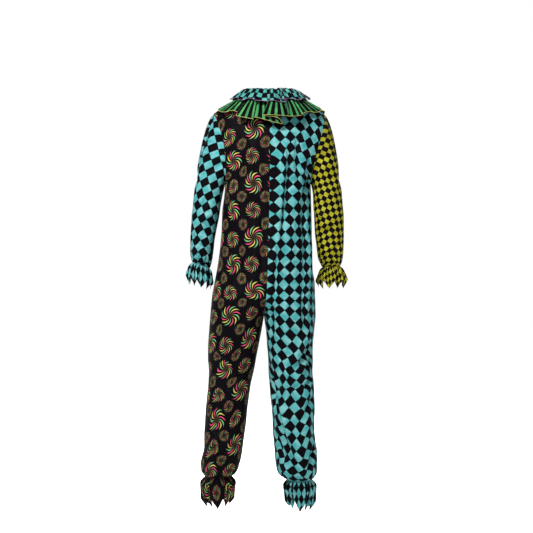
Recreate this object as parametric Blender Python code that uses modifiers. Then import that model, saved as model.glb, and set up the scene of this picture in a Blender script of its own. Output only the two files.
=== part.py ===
"""Clown jumpsuit with a double frilled collar, in the shape that it has when it is worn.

Metres, +Z up. The wearer faces -Y, so the back is at +Y and the wearer's left is at +X.
The origin is midway between the shoulders, where the wearer carries the suit.
The tables give heights above the floor that the wearer stands on, and distances from the
middle plane of the collar, which passes through the origin.
"""

import math

import bmesh
import bpy
import numpy as np

CLOTH = 0.0016  # thickness of every cloth wall
SEAM = 0.0003  # gap between two pieces that are sewn together
HELD_HEIGHT = 1.560  # height of the shoulders, and of the origin, above the floor
ROUND = 0.90  # power of the cosine and sine in a section: 1 is an ellipse, less is squarer

LEFT, RIGHT = 1, -1
BACK, FRONT = 1, -1

# Stations down a body panel: the rows between two stations are one zone of the panel.
NECKLINE, SHOULDER, UNDERARM, HIP, CROTCH, ANKLE = range(6)
ROWS_IN_ZONE = (3, 14, 7, 5, 13)
PANEL_COLUMNS = 9  # from the centre seam to the side seam
SEAM_STRIP = 0.015  # share of a panel's width in the narrow strip along a seam

SHOULDER_HEIGHT = 1.527
UNDERARM_HEIGHT = 1.262
HIP_HEIGHT = 0.885
CROTCH_HEIGHT = 0.760
PARTING_AT_CROTCH, PARTING_AT_HIP = 0.35, 0.50  # how fast the legs part, at both ends
ANKLE_HEIGHT = {LEFT: 0.1577, RIGHT: 0.1463}
CROWDING = 1.35  # above 1, the rows of a leg or sleeve come closer towards the elastic

# The neckline, an oval round the neck.
NECK_HALF_WIDTH = 0.066
NECK_DEPTH = {BACK: 0.065, FRONT: 0.075}
NECK_HEIGHT_SIDE = 1.612
YOKE_SAG = 0.008  # how far the shoulder seam hangs below a straight line
NECK_HEIGHT_MIDDLE = {BACK: 1.600, FRONT: 1.540}

ARMHOLE_DEPTH = {BACK: 0.086, FRONT: 0.076}  # how far the armhole reaches back and forward
ARMHOLE_POWER = 0.80
ARMHOLE_EVEN = 0.2  # 0 gives the armhole round ends, 1 pointed ones
ARMHOLE_GAP = 0.0007  # a little more than a seam, because the two walls meet at an angle


def table(columns, *rows):
    """The rows as a dictionary of arrays, one for each named column."""
    return dict(zip(columns.split(), np.array(rows, float).T))


# Between the armholes: the half-widths that the section would have with no armhole cut from it,
# and how far back and front reach.
CHEST = table(
    "height left  right  back   front",
    (1.262, 0.1700, 0.1545, 0.128, 0.122),
    (1.300, 0.1830, 0.1740, 0.131, 0.124),
    (1.350, 0.2030, 0.2050, 0.133, 0.124),
    (1.400, 0.2136, 0.2260, 0.134, 0.121),
    (1.440, 0.2190, 0.2340, 0.132, 0.115),
    (1.480, 0.2225, 0.2320, 0.124, 0.104),
    (1.505, 0.2195, 0.2190, 0.116, 0.095),
    (1.527, 0.2145, 0.2055, 0.106, 0.086),
)

# From the crotch to the underarm: where the centre seam runs, and the two side seams.
TORSO = table(
    "height seam  left    right   back   front",
    (0.760, 0.0230, 0.2270, 0.1730, 0.132, 0.118),
    (0.800, 0.0180, 0.2235, 0.1722, 0.138, 0.120),
    (0.840, 0.0140, 0.2185, 0.1715, 0.142, 0.122),
    (0.885, 0.0105, 0.2110, 0.1700, 0.142, 0.122),
    (0.940, 0.0090, 0.2010, 0.1610, 0.137, 0.121),
    (1.000, 0.0070, 0.1925, 0.1590, 0.129, 0.119),
    (1.080, 0.0050, 0.1845, 0.1585, 0.122, 0.117),
    (1.160, 0.0030, 0.1815, 0.1570, 0.122, 0.118),
    (1.210, 0.0020, 0.1745, 0.1560, 0.125, 0.120),
    (1.262, 0.0010, 0.1700, 0.1545, 0.128, 0.122),
)

LEG_COLUMNS = "height outer inner back front axis"
LEG = {
    LEFT: table(
        LEG_COLUMNS,
        (0.1577, 0.2470, 0.1436, 0.056, 0.054, 0.024),
        (0.1680, 0.2540, 0.1305, 0.071, 0.068, 0.024),
        (0.1824, 0.2622, 0.1216, 0.081, 0.078, 0.024),
        (0.2052, 0.2630, 0.1140, 0.086, 0.082, 0.024),
        (0.2375, 0.2561, 0.1060, 0.086, 0.081, 0.023),
        (0.2700, 0.2497, 0.1015, 0.087, 0.080, 0.022),
        (0.3116, 0.2497, 0.0961, 0.090, 0.081, 0.019),
        (0.3648, 0.2466, 0.0889, 0.093, 0.084, 0.015),
        (0.4066, 0.2440, 0.0855, 0.093, 0.087, 0.011),
        (0.4537, 0.2394, 0.0794, 0.092, 0.090, 0.006),
        (0.5016, 0.2345, 0.0726, 0.091, 0.094, 0.002),
        (0.5550, 0.2322, 0.0608, 0.094, 0.097, 0.000),
        (0.6000, 0.2356, 0.0524, 0.100, 0.100, 0.000),
        (0.6480, 0.2345, 0.0433, 0.108, 0.106, 0.000),
        (0.6960, 0.2322, 0.0338, 0.117, 0.112, 0.000),
        (0.7600, 0.2270, 0.0230, 0.132, 0.118, 0.000),
    ),
    RIGHT: table(
        LEG_COLUMNS,
        (0.1463, 0.1596, 0.0638, 0.055, 0.053, 0.024),
        (0.1580, 0.1715, 0.0420, 0.073, 0.069, 0.024),
        (0.1748, 0.1778, 0.0266, 0.083, 0.079, 0.024),
        (0.2128, 0.1794, 0.0190, 0.087, 0.082, 0.024),
        (0.2557, 0.1778, 0.0160, 0.088, 0.081, 0.022),
        (0.3105, 0.1702, 0.0106, 0.090, 0.081, 0.019),
        (0.3648, 0.1680, 0.0080, 0.093, 0.084, 0.015),
        (0.4055, 0.1706, 0.0057, 0.093, 0.087, 0.011),
        (0.4537, 0.1691, 0.0008, 0.092, 0.090, 0.006),
        (0.5024, 0.1668, -0.0027, 0.091, 0.094, 0.002),
        (0.5510, 0.1619, -0.0065, 0.094, 0.097, 0.000),
        (0.6000, 0.1630, -0.0076, 0.100, 0.100, 0.000),
        (0.6480, 0.1630, -0.0114, 0.108, 0.106, 0.000),
        (0.6960, 0.1680, -0.0148, 0.117, 0.112, 0.000),
        (0.7600, 0.1730, -0.0230, 0.132, 0.118, 0.000),
    ),
}

# The sleeve below the underarm. A tilt above 0 lifts the outer side of the section.
SLEEVE_COLUMNS = "height outer inner depth axis tilt"
SLEEVE = {
    LEFT: table(
        SLEEVE_COLUMNS,
        (0.9538, 0.2974, 0.2288, 0.031, -0.028, 0.325),
        (0.9690, 0.3010, 0.2230, 0.042, -0.025, 0.250),
        (0.9860, 0.3035, 0.2180, 0.049, -0.021, 0.120),
        (1.0110, 0.3040, 0.2140, 0.052, -0.016, 0.040),
        (1.0465, 0.3032, 0.2105, 0.054, -0.010, 0.000),
        (1.0925, 0.3013, 0.2025, 0.056, -0.004, 0.000),
        (1.1360, 0.2980, 0.1935, 0.058, 0.000, 0.000),
        (1.1780, 0.2930, 0.1875, 0.060, 0.003, 0.000),
        (1.2140, 0.2896, 0.1810, 0.062, 0.004, 0.000),
    ),
    RIGHT: table(
        SLEEVE_COLUMNS,
        (0.9489, 0.2690, 0.1972, 0.031, -0.028, 0.063),
        (0.9660, 0.2745, 0.1880, 0.043, -0.025, 0.040),
        (0.9850, 0.2775, 0.1805, 0.050, -0.021, 0.020),
        (1.0100, 0.2795, 0.1775, 0.053, -0.016, 0.000),
        (1.0382, 0.2803, 0.1744, 0.055, -0.010, 0.000),
        (1.0700, 0.2808, 0.1710, 0.056, -0.006, 0.000),
        (1.1411, 0.2800, 0.1680, 0.058, 0.000, 0.000),
        (1.1780, 0.2767, 0.1655, 0.060, 0.003, 0.000),
        (1.2140, 0.2732, 0.1634, 0.062, 0.004, 0.000),
    ),
}
SLEEVE_TOP = 1.2140  # the first full section below the armhole
SLEEVE_ROWS = 7  # below that section
HEAD_ROWS = 5  # and between the armhole and it
HEAD_STRIP = 0.02  # share of the sleeve's head in the narrow strip along the armhole
HEAD_REACH_UNDERARM = 0.020  # how strongly the cloth leaves the armhole, under the arm
HEAD_REACH_SHOULDER = 0.130  # and over the shoulder

# Folds of the body, as lines seen from behind: a soft ridge with a trough on either side.
FOLDS = table(
    "side  x_top   top    x_end   end    width  depth",
    (RIGHT, 0.034, 1.290, 0.016, 0.860, 0.026, 0.0090),
    (RIGHT, 0.066, 1.480, 0.072, 1.240, 0.028, 0.0080),
    (RIGHT, 0.112, 1.450, 0.100, 1.150, 0.028, 0.0070),
    (RIGHT, 0.132, 1.110, 0.134, 0.780, 0.028, 0.0080),
    (RIGHT, 0.146, 1.400, 0.120, 1.270, 0.024, 0.0060),
    (RIGHT, 0.160, 0.720, 0.050, 0.540, 0.028, 0.0090),
    (RIGHT, 0.150, 0.600, 0.040, 0.460, 0.026, 0.0080),
    (RIGHT, 0.016, 0.640, 0.070, 0.400, 0.026, 0.0080),
    (RIGHT, 0.030, 0.460, 0.096, 0.230, 0.026, 0.0070),
    (RIGHT, 0.150, 0.420, 0.104, 0.210, 0.028, 0.0070),
    (LEFT, 0.060, 1.440, 0.074, 1.160, 0.030, 0.0070),
    (LEFT, 0.116, 1.400, 0.120, 1.050, 0.030, 0.0070),
    (LEFT, 0.050, 1.120, 0.062, 0.820, 0.030, 0.0070),
    (LEFT, 0.144, 1.060, 0.166, 0.780, 0.030, 0.0070),
    (LEFT, 0.205, 0.660, 0.110, 0.530, 0.028, 0.0080),
    (LEFT, 0.096, 0.560, 0.180, 0.430, 0.028, 0.0070),
    (LEFT, 0.215, 0.430, 0.150, 0.260, 0.028, 0.0070),
    (LEFT, 0.126, 0.330, 0.166, 0.210, 0.026, 0.0060),
)
FRONT_FOLDS = 0.8  # the front has the same folds, a little flatter

GATHER_ZONE = 0.060  # the gathers above an elastic die out this far from it
GATHER_DEPTH = 0.0030

# Frills below the elastics: length at a notch and at a point, and how far the hem stands out
# sideways, backward and forward.
CUFF_LENGTHS, CUFF_POINTS = (0.050, 0.083), 9
CUFF_FLARE = (0.021, 0.021, 0.021)
ANKLE_LENGTHS, ANKLE_POINTS = (0.078, 0.112), 10
ANKLE_FLARE = (0.014, 0.014, 0.026)
# How much of the flare is reached from the elastic to the hem.
FRILL_OPENING = table(
    "share cuff  ankle",
    (0.00, 0.00, 0.00),
    (0.33, 0.46, 1.00),
    (0.67, 0.76, 0.85),
    (1.00, 1.00, 0.55),
)
FRILL_LEAN = 0.25  # how much of an elastic's tilt its frill follows: 0 is straight down
FRILL_WAVE = 0.0045
FRILL_ROWS = 3
STEPS_PER_POINT = 4

# The collar: two tiers from the neckline, by their distance out from it and height above it.
COLLAR_COLUMNS = "share side_out side_up back_out back_up front_out front_up"
COLLAR_LOWER = table(
    COLLAR_COLUMNS,
    (0.00, 0.000, 0.0000, 0.000, 0.0000, 0.000, 0.0000),
    (0.25, 0.034, -0.0165, 0.031, -0.0125, 0.033, -0.0105),
    (0.50, 0.069, -0.0375, 0.059, -0.0425, 0.062, -0.0360),
    (0.75, 0.104, -0.0585, 0.084, -0.0820, 0.087, -0.0690),
    (1.00, 0.138, -0.0775, 0.106, -0.1250, 0.109, -0.1060),
)
COLLAR_UPPER = table(
    COLLAR_COLUMNS,
    (0.00, 0.000, 0.0000, 0.000, 0.0000, 0.000, 0.0000),
    (0.34, 0.030, 0.0060, 0.028, 0.0130, 0.028, 0.0130),
    (0.67, 0.058, -0.0140, 0.058, -0.0120, 0.058, -0.0080),
    (1.00, 0.081, -0.0400, 0.083, -0.0500, 0.084, -0.0450),
)
LOWER_WAVES, UPPER_WAVES = 12, 13
LOWER_WAVE = {"side": 0.0050, "ends": 0.0160}  # height of the waves at the hem
UPPER_WAVE = {"side": 0.0050, "ends": 0.0085}
COLLAR_STEPS = 80
LOWER_ROWS, UPPER_ROWS = 4, 3
FRONT_GAP = 0.0056  # half the gap between the ends of a tier, at the neckline

# The zip down the centre front, and its slider and pull near the top.
ZIP_TOP, ZIP_BOTTOM = 0.33, 0.980  # a station of the panel, and a height
CHAIN_WIDTH, CHAIN_THICK = 0.0055, 0.0016
SLIDER_STATION = 1.06
SLIDER_WIDTH, SLIDER_LENGTH, SLIDER_THICK = 0.0078, 0.0110, 0.0022
BRIDGE_WIDTH, BRIDGE_BAR = 0.0022, 0.0012
BRIDGE_SPACE = 0.0026  # between the plate and the bridge
PULL_LENGTH, PULL_WIDTH, PULL_THICK = 0.0260, 0.0064, 0.0014
PULL_BAR = 0.0014  # width of the bar that lies under the bridge
PULL_PLAY = 0.0008  # from the bar to the bridge's ends
PULL_SLOT_WIDTH, PULL_SLOT_LENGTH = 0.0036, 0.0080

BODY_FABRIC = {LEFT: "pinwheel_print", RIGHT: "teal_diamond"}
SLEEVE_FABRIC = {LEFT: "teal_diamond", RIGHT: "yellow_diamond"}

# Colour, roughness and metallic value.
MATERIALS = {
    "pinwheel_print": ((0.020, 0.014, 0.020), 0.6, 0.0),
    "teal_diamond": ((0.055, 0.440, 0.440), 0.6, 0.0),
    "yellow_diamond": ((0.440, 0.400, 0.030), 0.6, 0.0),
    "teal_check": ((0.040, 0.330, 0.330), 0.6, 0.0),
    "green_stripe": ((0.060, 0.330, 0.090), 0.6, 0.0),
    "zip_black": ((0.012, 0.012, 0.013), 0.5, 0.0),
    "metal": ((0.420, 0.420, 0.430), 0.3, 1.0),
}


def smooth(xs, ys, at):
    """A curve through the points that never overshoots them; xs rise."""
    step = np.diff(xs)
    rise = np.diff(ys) / step
    before, after = rise[:-1], rise[1:]
    same_way = before * after > 0
    mean = 2 * before * after / np.where(same_way, before + after, 1.0)
    slope = np.concatenate([rise[:1], np.where(same_way, mean, 0.0), rise[-1:]])
    at = np.clip(at, xs[0], xs[-1])
    i = np.clip(np.searchsorted(xs, at) - 1, 0, len(xs) - 2)
    u = (at - xs[i]) / step[i]
    return (
        ys[i] * (1 + 2 * u) * (1 - u) ** 2
        + ys[i + 1] * u * u * (3 - 2 * u)
        + step[i] * (slope[i] * u * (1 - u) ** 2 - slope[i + 1] * u * u * (1 - u))
    )


def read(rows, column, height):
    return smooth(rows["height"], rows[column], height)


def ease(share):
    """From 0 to 1 with level ends."""
    share = np.clip(share, 0.0, 1.0)
    return share * share * (3 - 2 * share)


def power(value, exponent=ROUND):
    return np.sign(value) * np.abs(value) ** exponent


def side_name(side):
    return "left" if side == LEFT else "right"


def face_name(face):
    return "back" if face == BACK else "front"


def oval(centre, half_width, axis, depth, side, face, angle, height):
    """Points of a rounded section: angle 0 is its outer side and a right angle its back or front."""
    x = centre + side * half_width * power(np.cos(angle))
    y = axis + face * depth * power(np.sin(angle))
    return np.stack([x, y, np.broadcast_to(height, x.shape)], axis=-1)


def angles(first, last, t):
    """t is 0 at the centre seam or inseam, and 1 at the side seam or armhole."""
    return last + (first - last) * (1 - t)


def yoke_row(side, face, station, t):
    """Over the shoulder: from the section at the shoulder's height to the neckline."""
    low = armhole_row(side, face, SHOULDER, t)
    angle = angles(math.pi / 2, 0.0, t)
    middle = NECK_HEIGHT_MIDDLE[face]
    height = NECK_HEIGHT_SIDE + (middle - NECK_HEIGHT_SIDE) * np.sin(angle) ** 2
    neck = oval(0.0, NECK_HALF_WIDTH, 0.0, NECK_DEPTH[face], side, face, angle, height)
    share = SHOULDER - station
    row = low + (neck - low) * share
    row[..., 2] -= 4 * YOKE_SAG * share * (1 - share) * t**2
    return row


def armhole_row(side, face, station, t):
    """Between the armholes. The row ends where the armhole's edge cuts the section off.

    The rows are evenly spaced at the centre seam, and close together at both ends of the armhole.
    """
    share = UNDERARM - station
    rounded = (1 - math.cos(math.pi * share)) / 2
    edge_share = ARMHOLE_EVEN * share + (1 - ARMHOLE_EVEN) * rounded
    rise = SHOULDER_HEIGHT - UNDERARM_HEIGHT
    height = UNDERARM_HEIGHT + rise * (share + (edge_share - share) * t)
    depth_at_edge = read(CHEST, face_name(face), UNDERARM_HEIGHT + rise * edge_share)
    reach = ARMHOLE_DEPTH[face] * max(0.0, math.sin(math.pi * share)) ** ARMHOLE_POWER
    last = math.asin((reach / depth_at_edge) ** (1 / ROUND))
    seam = read(TORSO, "seam", height)
    half_width = read(CHEST, side_name(side), height) - side * seam
    depth = read(CHEST, face_name(face), height)
    return oval(seam, half_width, 0.0, depth, side, face, angles(math.pi / 2, last, t), height)


def torso_row(side, face, station, t):
    height = UNDERARM_HEIGHT + (HIP_HEIGHT - UNDERARM_HEIGHT) * (station - UNDERARM)
    seam = read(TORSO, "seam", height)
    half_width = read(TORSO, side_name(side), height) - side * seam
    depth = read(TORSO, face_name(face), height)
    return oval(seam, half_width, 0.0, depth, side, face, angles(math.pi / 2, 0.0, t), height)


def parting(share):
    """How far the oval has parted into two, from 1 at the crotch to 0 at the hip."""
    joined = (
        PARTING_AT_CROTCH * share * (1 - share) ** 2
        + share**2 * (3 - 2 * share)
        - PARTING_AT_HIP * share**2 * (1 - share)
    )
    return 1 - joined


def seat_row(side, face, station, t):
    """From the hip to the crotch, one oval parts into two that touch at the crotch.

    The rows are evenly spaced at the side seam, and closer to the crotch at the centre seam.
    """
    share = CROTCH - station
    seam_share = 1 - math.cos(math.pi / 2 * share)
    share = share + (seam_share - share) * (1 - t) ** 2
    height = CROTCH_HEIGHT + (HIP_HEIGHT - CROTCH_HEIGHT) * share
    seam = read(TORSO, "seam", height)
    reach = read(TORSO, side_name(side), height) - side * seam
    parted = parting(share)
    half_width = reach / (1 + parted)
    centre = seam + side * parted * half_width
    depth = read(TORSO, face_name(face), height)
    first = math.acos(-(parting(seam_share) ** (1 / ROUND)))
    return oval(centre, half_width, 0.0, depth, side, face, angles(first, 0.0, t), height)


def leg_height(side, station):
    share = 1 - (1 - (station - CROTCH)) ** CROWDING
    return CROTCH_HEIGHT + (ANKLE_HEIGHT[side] - CROTCH_HEIGHT) * share


def leg_row(side, face, station, t):
    height = leg_height(side, station)
    names = ("outer", "inner", face_name(face), "axis")
    outer, inner, depth, axis = (read(LEG[side], name, height) for name in names)
    centre, half_width = side * (outer + inner) / 2, (outer - inner) / 2
    return oval(centre, half_width, axis, depth, side, face, angles(math.pi, 0.0, t), height)


def body_row(side, face, station, t):
    """A row of the body's cloth before its folds, in heights above the floor."""
    for end, row in (
        (SHOULDER, yoke_row),
        (UNDERARM, armhole_row),
        (HIP, torso_row),
        (CROTCH, seat_row),
    ):
        if station < end:
            return row(side, face, station, t)
    return leg_row(side, face, min(station, float(ANKLE)), t)


def body_grid(side, face, stations, ts):
    return np.array([body_row(side, face, s, ts) for s in stations])


def unit(vectors):
    return vectors / np.linalg.norm(vectors, axis=-1, keepdims=True)


def body_normals(side, face, stations, ts):
    """Outward directions of the cloth, from small steps along and across it."""
    small = 1e-3
    low, high = np.clip(ts - small, 0, 1), np.clip(ts + small, 0, 1)
    across = body_grid(side, face, stations, high) - body_grid(side, face, stations, low)
    above = np.clip(stations - small, NECKLINE, ANKLE)
    below = np.clip(stations + small, NECKLINE, ANKLE)
    along = body_grid(side, face, below, ts) - body_grid(side, face, above, ts)
    normals = unit(np.cross(across, along))
    return normals * side * face


def fold_height(side, points):
    """How far each fold lifts the cloth off its plain form, at points seen from behind."""
    lift = np.zeros(points.shape[:-1])
    for i in np.flatnonzero(FOLDS["side"] == side):
        fold = {name: values[i] for name, values in FOLDS.items()}
        top = np.array([side * fold["x_top"], fold["top"]])
        line = np.array([side * fold["x_end"], fold["end"]]) - top
        length = np.linalg.norm(line)
        away = points[..., ::2] - top
        share = away @ line / length**2
        off = (away[..., 0] * line[1] - away[..., 1] * line[0]) / length
        ends = ease(share / 0.25) * ease((1 - share) / 0.25)
        across = (off / fold["width"]) ** 2
        lift += fold["depth"] * ends * (1 - across) * np.exp(-across)
    return lift


def gathers(height, elastic, pushed):
    """How far the pushed columns go in, more so towards the elastic."""
    return -GATHER_DEPTH * ease(1 - (height - elastic) / GATHER_ZONE) * pushed


def panel_stations():
    zones = [zone + np.arange(rows) / rows for zone, rows in enumerate(ROWS_IN_ZONE)]
    return np.append(np.concatenate(zones), ANKLE)


def panel_columns():
    """Shares from the centre seam to the side seam, with a narrow strip along each seam."""
    inner = np.linspace(0, 1, PANEL_COLUMNS + 1)[1:-1]
    return np.concatenate([[0.0, SEAM_STRIP], inner, [1 - SEAM_STRIP, 1.0]])


def body_panel(side, face):
    """The outer points of one panel from the neckline to the ankle's elastic, and its directions."""
    stations, ts = panel_stations(), panel_columns()
    points = body_grid(side, face, stations, ts)
    normals = body_normals(side, face, stations, ts)
    calm = ease((np.minimum(ts, 1 - ts) - SEAM_STRIP) * PANEL_COLUMNS / 2)
    strength = 1.0 if face == BACK else FRONT_FOLDS
    points += normals * (fold_height(side, points) * strength * calm)[..., None]
    leg = (stations >= CROTCH)[:, None]
    every_other = np.zeros(len(ts))
    every_other[2:-2:2] = 1.0
    pushed = gathers(points[..., 2], ANKLE_HEIGHT[side], every_other) * leg
    points += unit(normals * [1.0, 1.0, 0.0]) * pushed[..., None]
    # Half the seam's gap comes off each edge: the side seam and inseam, and the centre seam.
    points[:, -1] += unit(points[:, -2] - points[:, -1]) * SEAM / 2
    points[:, 0] += unit(points[:, 1] - points[:, 0]) * SEAM / 2 * leg
    points[stations <= CROTCH, 0, 0] += side * SEAM / 2
    return points, normals


def grid_normals(points, around):
    """Directions out of a grid of points, from its neighbours."""
    down = np.gradient(points, axis=0)
    if around:
        across = np.roll(points, -1, axis=1) - np.roll(points, 1, axis=1)
    else:
        across = np.gradient(points, axis=1)
    return unit(np.cross(across, down))


def cloth(name, points, inside, material, around=False, thickness=CLOTH, offset=-1):
    """A wall: a surface through rows of points, thickened. inside is a point that it faces away from."""
    rows, columns = points.shape[:2]
    index = np.arange(rows * columns).reshape(rows, columns)
    right = np.roll(index, -1, axis=1)
    quads = np.stack([index[:-1], right[:-1], right[1:], index[1:]], axis=-1)
    if not around:
        quads = quads[:, :-1]
    quads = quads.reshape(-1, 4)
    if ((points - inside) * grid_normals(points, around)).sum() < 0:
        quads = quads[:, ::-1]
    mesh = bpy.data.meshes.new(name)
    in_frame = points.reshape(-1, 3) - np.array([0.0, 0.0, HELD_HEIGHT])
    mesh.from_pydata(in_frame.tolist(), [], quads.tolist())
    mesh.shade_smooth()
    obj = place(name, mesh, material)
    solidify = obj.modifiers.new("thickness", "SOLIDIFY")
    solidify.thickness = thickness
    solidify.offset = offset
    return obj


def place(name, data, material):
    obj = bpy.data.objects.new(name, data)
    obj.data.materials.append(bpy.data.materials[material])
    bpy.data.collections["clown_costume"].objects.link(obj)
    return obj


def armhole(side, panels):
    """The armhole's edge from the underarm up the back and down the front, and how a sleeve leaves it."""
    top, low = ROWS_IN_ZONE[0], ROWS_IN_ZONE[0] + ROWS_IN_ZONE[1]
    edge, normals, beside = [], [], []
    for face, order in ((BACK, slice(low, top, -1)), (FRONT, slice(top, low))):
        points, out = panels[side, face]
        edge.append(points[order, -1])
        normals.append(out[order, -1])
        beside.append(points[order, -2])
    edge, normals, beside = (np.concatenate(part) for part in (edge, normals, beside))
    tangent = np.roll(edge, -1, axis=0) - np.roll(edge, 1, axis=0)
    leaving = unit(np.cross(tangent, normals))
    return edge, leaving * np.sign(((edge - beside) * leaving).sum())


def sleeve_section(side, height, turn):
    """The sleeve's section: turn 0 is its inner side, a quarter turn its back."""
    names = ("outer", "inner", "depth", "axis", "tilt")
    outer, inner, depth, axis, tilt = (read(SLEEVE[side], name, height) for name in names)
    out = -(outer - inner) / 2 * power(np.cos(turn))
    x = side * ((outer + inner) / 2 + out)
    y = axis + depth * power(np.sin(turn))
    return np.stack([x, y, height + tilt * out], axis=-1)


def sleeve_rows(side, edge, leaving):
    """Rows of the sleeve from the armhole's edge to the elastic of the cuff."""
    count = len(edge)
    turn = np.arange(count) / count * 2 * math.pi
    first = sleeve_section(side, SLEEVE_TOP, turn)
    below = sleeve_section(side, SLEEVE_TOP - 0.010, turn)
    shoulder = (1 - np.cos(turn))[:, None] / 2
    reach = HEAD_REACH_UNDERARM + (HEAD_REACH_SHOULDER - HEAD_REACH_UNDERARM) * shoulder
    start = edge + leaving * ARMHOLE_GAP
    leave = leaving * reach
    arrive = unit(below - first) * np.linalg.norm(first - start, axis=-1)[:, None]
    rows = [start]
    for u in np.concatenate([[HEAD_STRIP], np.arange(1, HEAD_ROWS) / HEAD_ROWS]):
        rows.append(
            start * (1 + 2 * u) * (1 - u) ** 2
            + first * u * u * (3 - 2 * u)
            + leave * u * (1 - u) ** 2
            - arrive * u * u * (1 - u)
        )
    elastic = SLEEVE[side]["height"][0]
    for share in 1 - (1 - np.arange(SLEEVE_ROWS + 1) / SLEEVE_ROWS) ** CROWDING:
        height = SLEEVE_TOP + (elastic - SLEEVE_TOP) * share
        ring = sleeve_section(side, height, turn)
        pushed = gathers(height, elastic, np.arange(count) % 2)
        rows.append(ring + unit(ring - ring.mean(axis=0)) * pushed[:, None])
    return np.array(rows)


def sleeve(side, panels, material):
    points = sleeve_rows(side, *armhole(side, panels))
    # The tube's own middle, so that the wall faces away from the arm.
    middle = points.mean(axis=1, keepdims=True)
    cloth(f"sleeve_{side_name(side)}", points, middle, material, around=True)


def frill(name, elastic, lengths, flare, opening, points, material):
    """A frill with a pointed hem below an elastic: its centre, outward and down directions and size."""
    centre, outward, down, half_width, depth = elastic
    steps = points * STEPS_PER_POINT
    turn = np.arange(steps) / steps * 2 * math.pi
    beat = turn * points / (2 * math.pi)
    # 0 at a notch of the hem and 1 at a point.
    hem = 1 - np.abs(2 * (beat % 1) - 1)
    notch, tip = lengths
    length = notch + (tip - notch) * hem
    wave = FRILL_WAVE * np.cos(turn * points)
    out, back, front = flare
    rows = []
    for share in np.arange(FRILL_ROWS + 1) / FRILL_ROWS:
        opened = smooth(FRILL_OPENING["share"], FRILL_OPENING[opening], share)
        across = half_width + out * opened + wave * share
        deep = depth + np.where(np.sin(turn) > 0, back, front) * opened + wave * share
        rows.append(
            centre
            + outward * (across * power(np.cos(turn)))[:, None]
            + np.array([0.0, 1.0, 0.0]) * (deep * power(np.sin(turn)))[:, None]
            + down * (SEAM + length * share)[:, None]
        )
    points = np.array(rows)
    cloth(name, points, points.mean(axis=1, keepdims=True), material, around=True)


def elastic_of(rows, side):
    """The centre, directions and half sizes of the section at the end of a sleeve or leg."""
    outer, inner, height, axis = (rows[name][0] for name in ("outer", "inner", "height", "axis"))
    tilt = rows["tilt"][0] if "tilt" in rows else 0.0
    depth = rows["depth"][0] if "depth" in rows else rows["back"][0]
    centre = np.array([side * (outer + inner) / 2, axis, height])
    outward = unit(np.array([side, 0.0, tilt]))
    down = unit(np.array([side * tilt * FRILL_LEAN, 0.0, -1.0]))
    return centre, outward, down, (outer - inner) / 2 * math.hypot(1, tilt), depth


def neckline(panels):
    """The neckline from the centre front round by the left side, the back and the right side."""
    order = ((LEFT, FRONT, 1), (LEFT, BACK, -1), (RIGHT, BACK, 1), (RIGHT, FRONT, -1))
    return np.concatenate([panels[side, face][0][0][::step] for side, face, step in order])


def collar_tier(name, edge, profile, waves, wave, lift, rows, material):
    """A frilled tier from the neckline to its hem, open at the centre front."""
    lengths = np.linalg.norm(np.diff(edge, axis=0), axis=1)
    at = np.concatenate([[0.0], np.cumsum(lengths)])
    gap = FRONT_GAP / at[-1]
    shares = np.linspace(gap, 1 - gap, COLLAR_STEPS + 1)
    base = np.stack([np.interp(shares * at[-1], at, edge[:, k]) for k in range(3)], axis=-1)
    turn = shares * 2 * math.pi
    at_side = np.sin(turn) ** 2
    behind = np.cos(turn) < 0
    weights = {
        "side": at_side,
        "back": np.where(behind, 1 - at_side, 0.0),
        "front": np.where(behind, 0.0, 1 - at_side),
    }
    away = np.stack([np.sin(turn), -np.cos(turn), 0 * turn], axis=-1)
    upward = unit(np.cross(away, np.gradient(base, axis=0)))
    base += upward * lift
    height = wave["ends"] + (wave["side"] - wave["ends"]) * at_side
    ripple = height * (0.5 - 0.5 * np.cos(turn * waves))
    made = []
    for share in np.arange(rows + 1) / rows:
        out, up = (
            sum(w * smooth(profile["share"], profile[f"{p}_{way}"], share) for p, w in weights.items())
            for way in ("out", "up")
        )
        row = base + away * out[:, None]
        row[:, 2] += up + ripple * share**1.5
        made.append(row)
    cloth(name, np.array(made), np.array([0.0, 0.0, UNDERARM_HEIGHT]), material)


def centre_front(stations):
    """Points of the centre-front seam and their outward directions."""
    line = body_grid(LEFT, FRONT, stations, np.array([0.0]))[:, 0]
    out = body_normals(LEFT, FRONT, stations, np.array([0.0]))[:, 0]
    return line, unit(out * [0.0, 1.0, 1.0])


def zip_chain():
    """The closed chain, a strip laid on the centre-front seam."""
    stations = panel_stations()
    stations = stations[(stations >= ZIP_TOP) & (stations < HIP)]
    line, out = centre_front(stations)
    kept = line[:, 2] > ZIP_BOTTOM
    middle = (line + out * SEAM)[kept]
    half = np.array([CHAIN_WIDTH / 2, 0.0, 0.0])
    points = np.stack([middle - half, middle + half], axis=1)
    inside = np.array([0.0, 0.0, UNDERARM_HEIGHT])
    cloth("zip_chain", points, inside, "zip_black", thickness=CHAIN_THICK, offset=1)


def box(name, size, centre, material):
    """A box with its middle at centre, in its own axes."""
    mesh = bpy.data.meshes.new(name)
    made = bmesh.new()
    bmesh.ops.create_cube(made, size=1.0)
    bmesh.ops.scale(made, vec=size, verts=made.verts)
    bmesh.ops.translate(made, vec=centre, verts=made.verts)
    made.to_mesh(mesh)
    made.free()
    return place(name, mesh, material)


def combine(obj, other, operation):
    """Joins the other solid to obj, or cuts it away."""
    modifier = obj.modifiers.new(operation.lower(), "BOOLEAN")
    modifier.object = other
    modifier.operation = operation
    collection = bpy.data.collections["tools"]
    bpy.data.collections["clown_costume"].objects.unlink(other)
    collection.objects.link(other)
    other.hide_render = True


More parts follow.
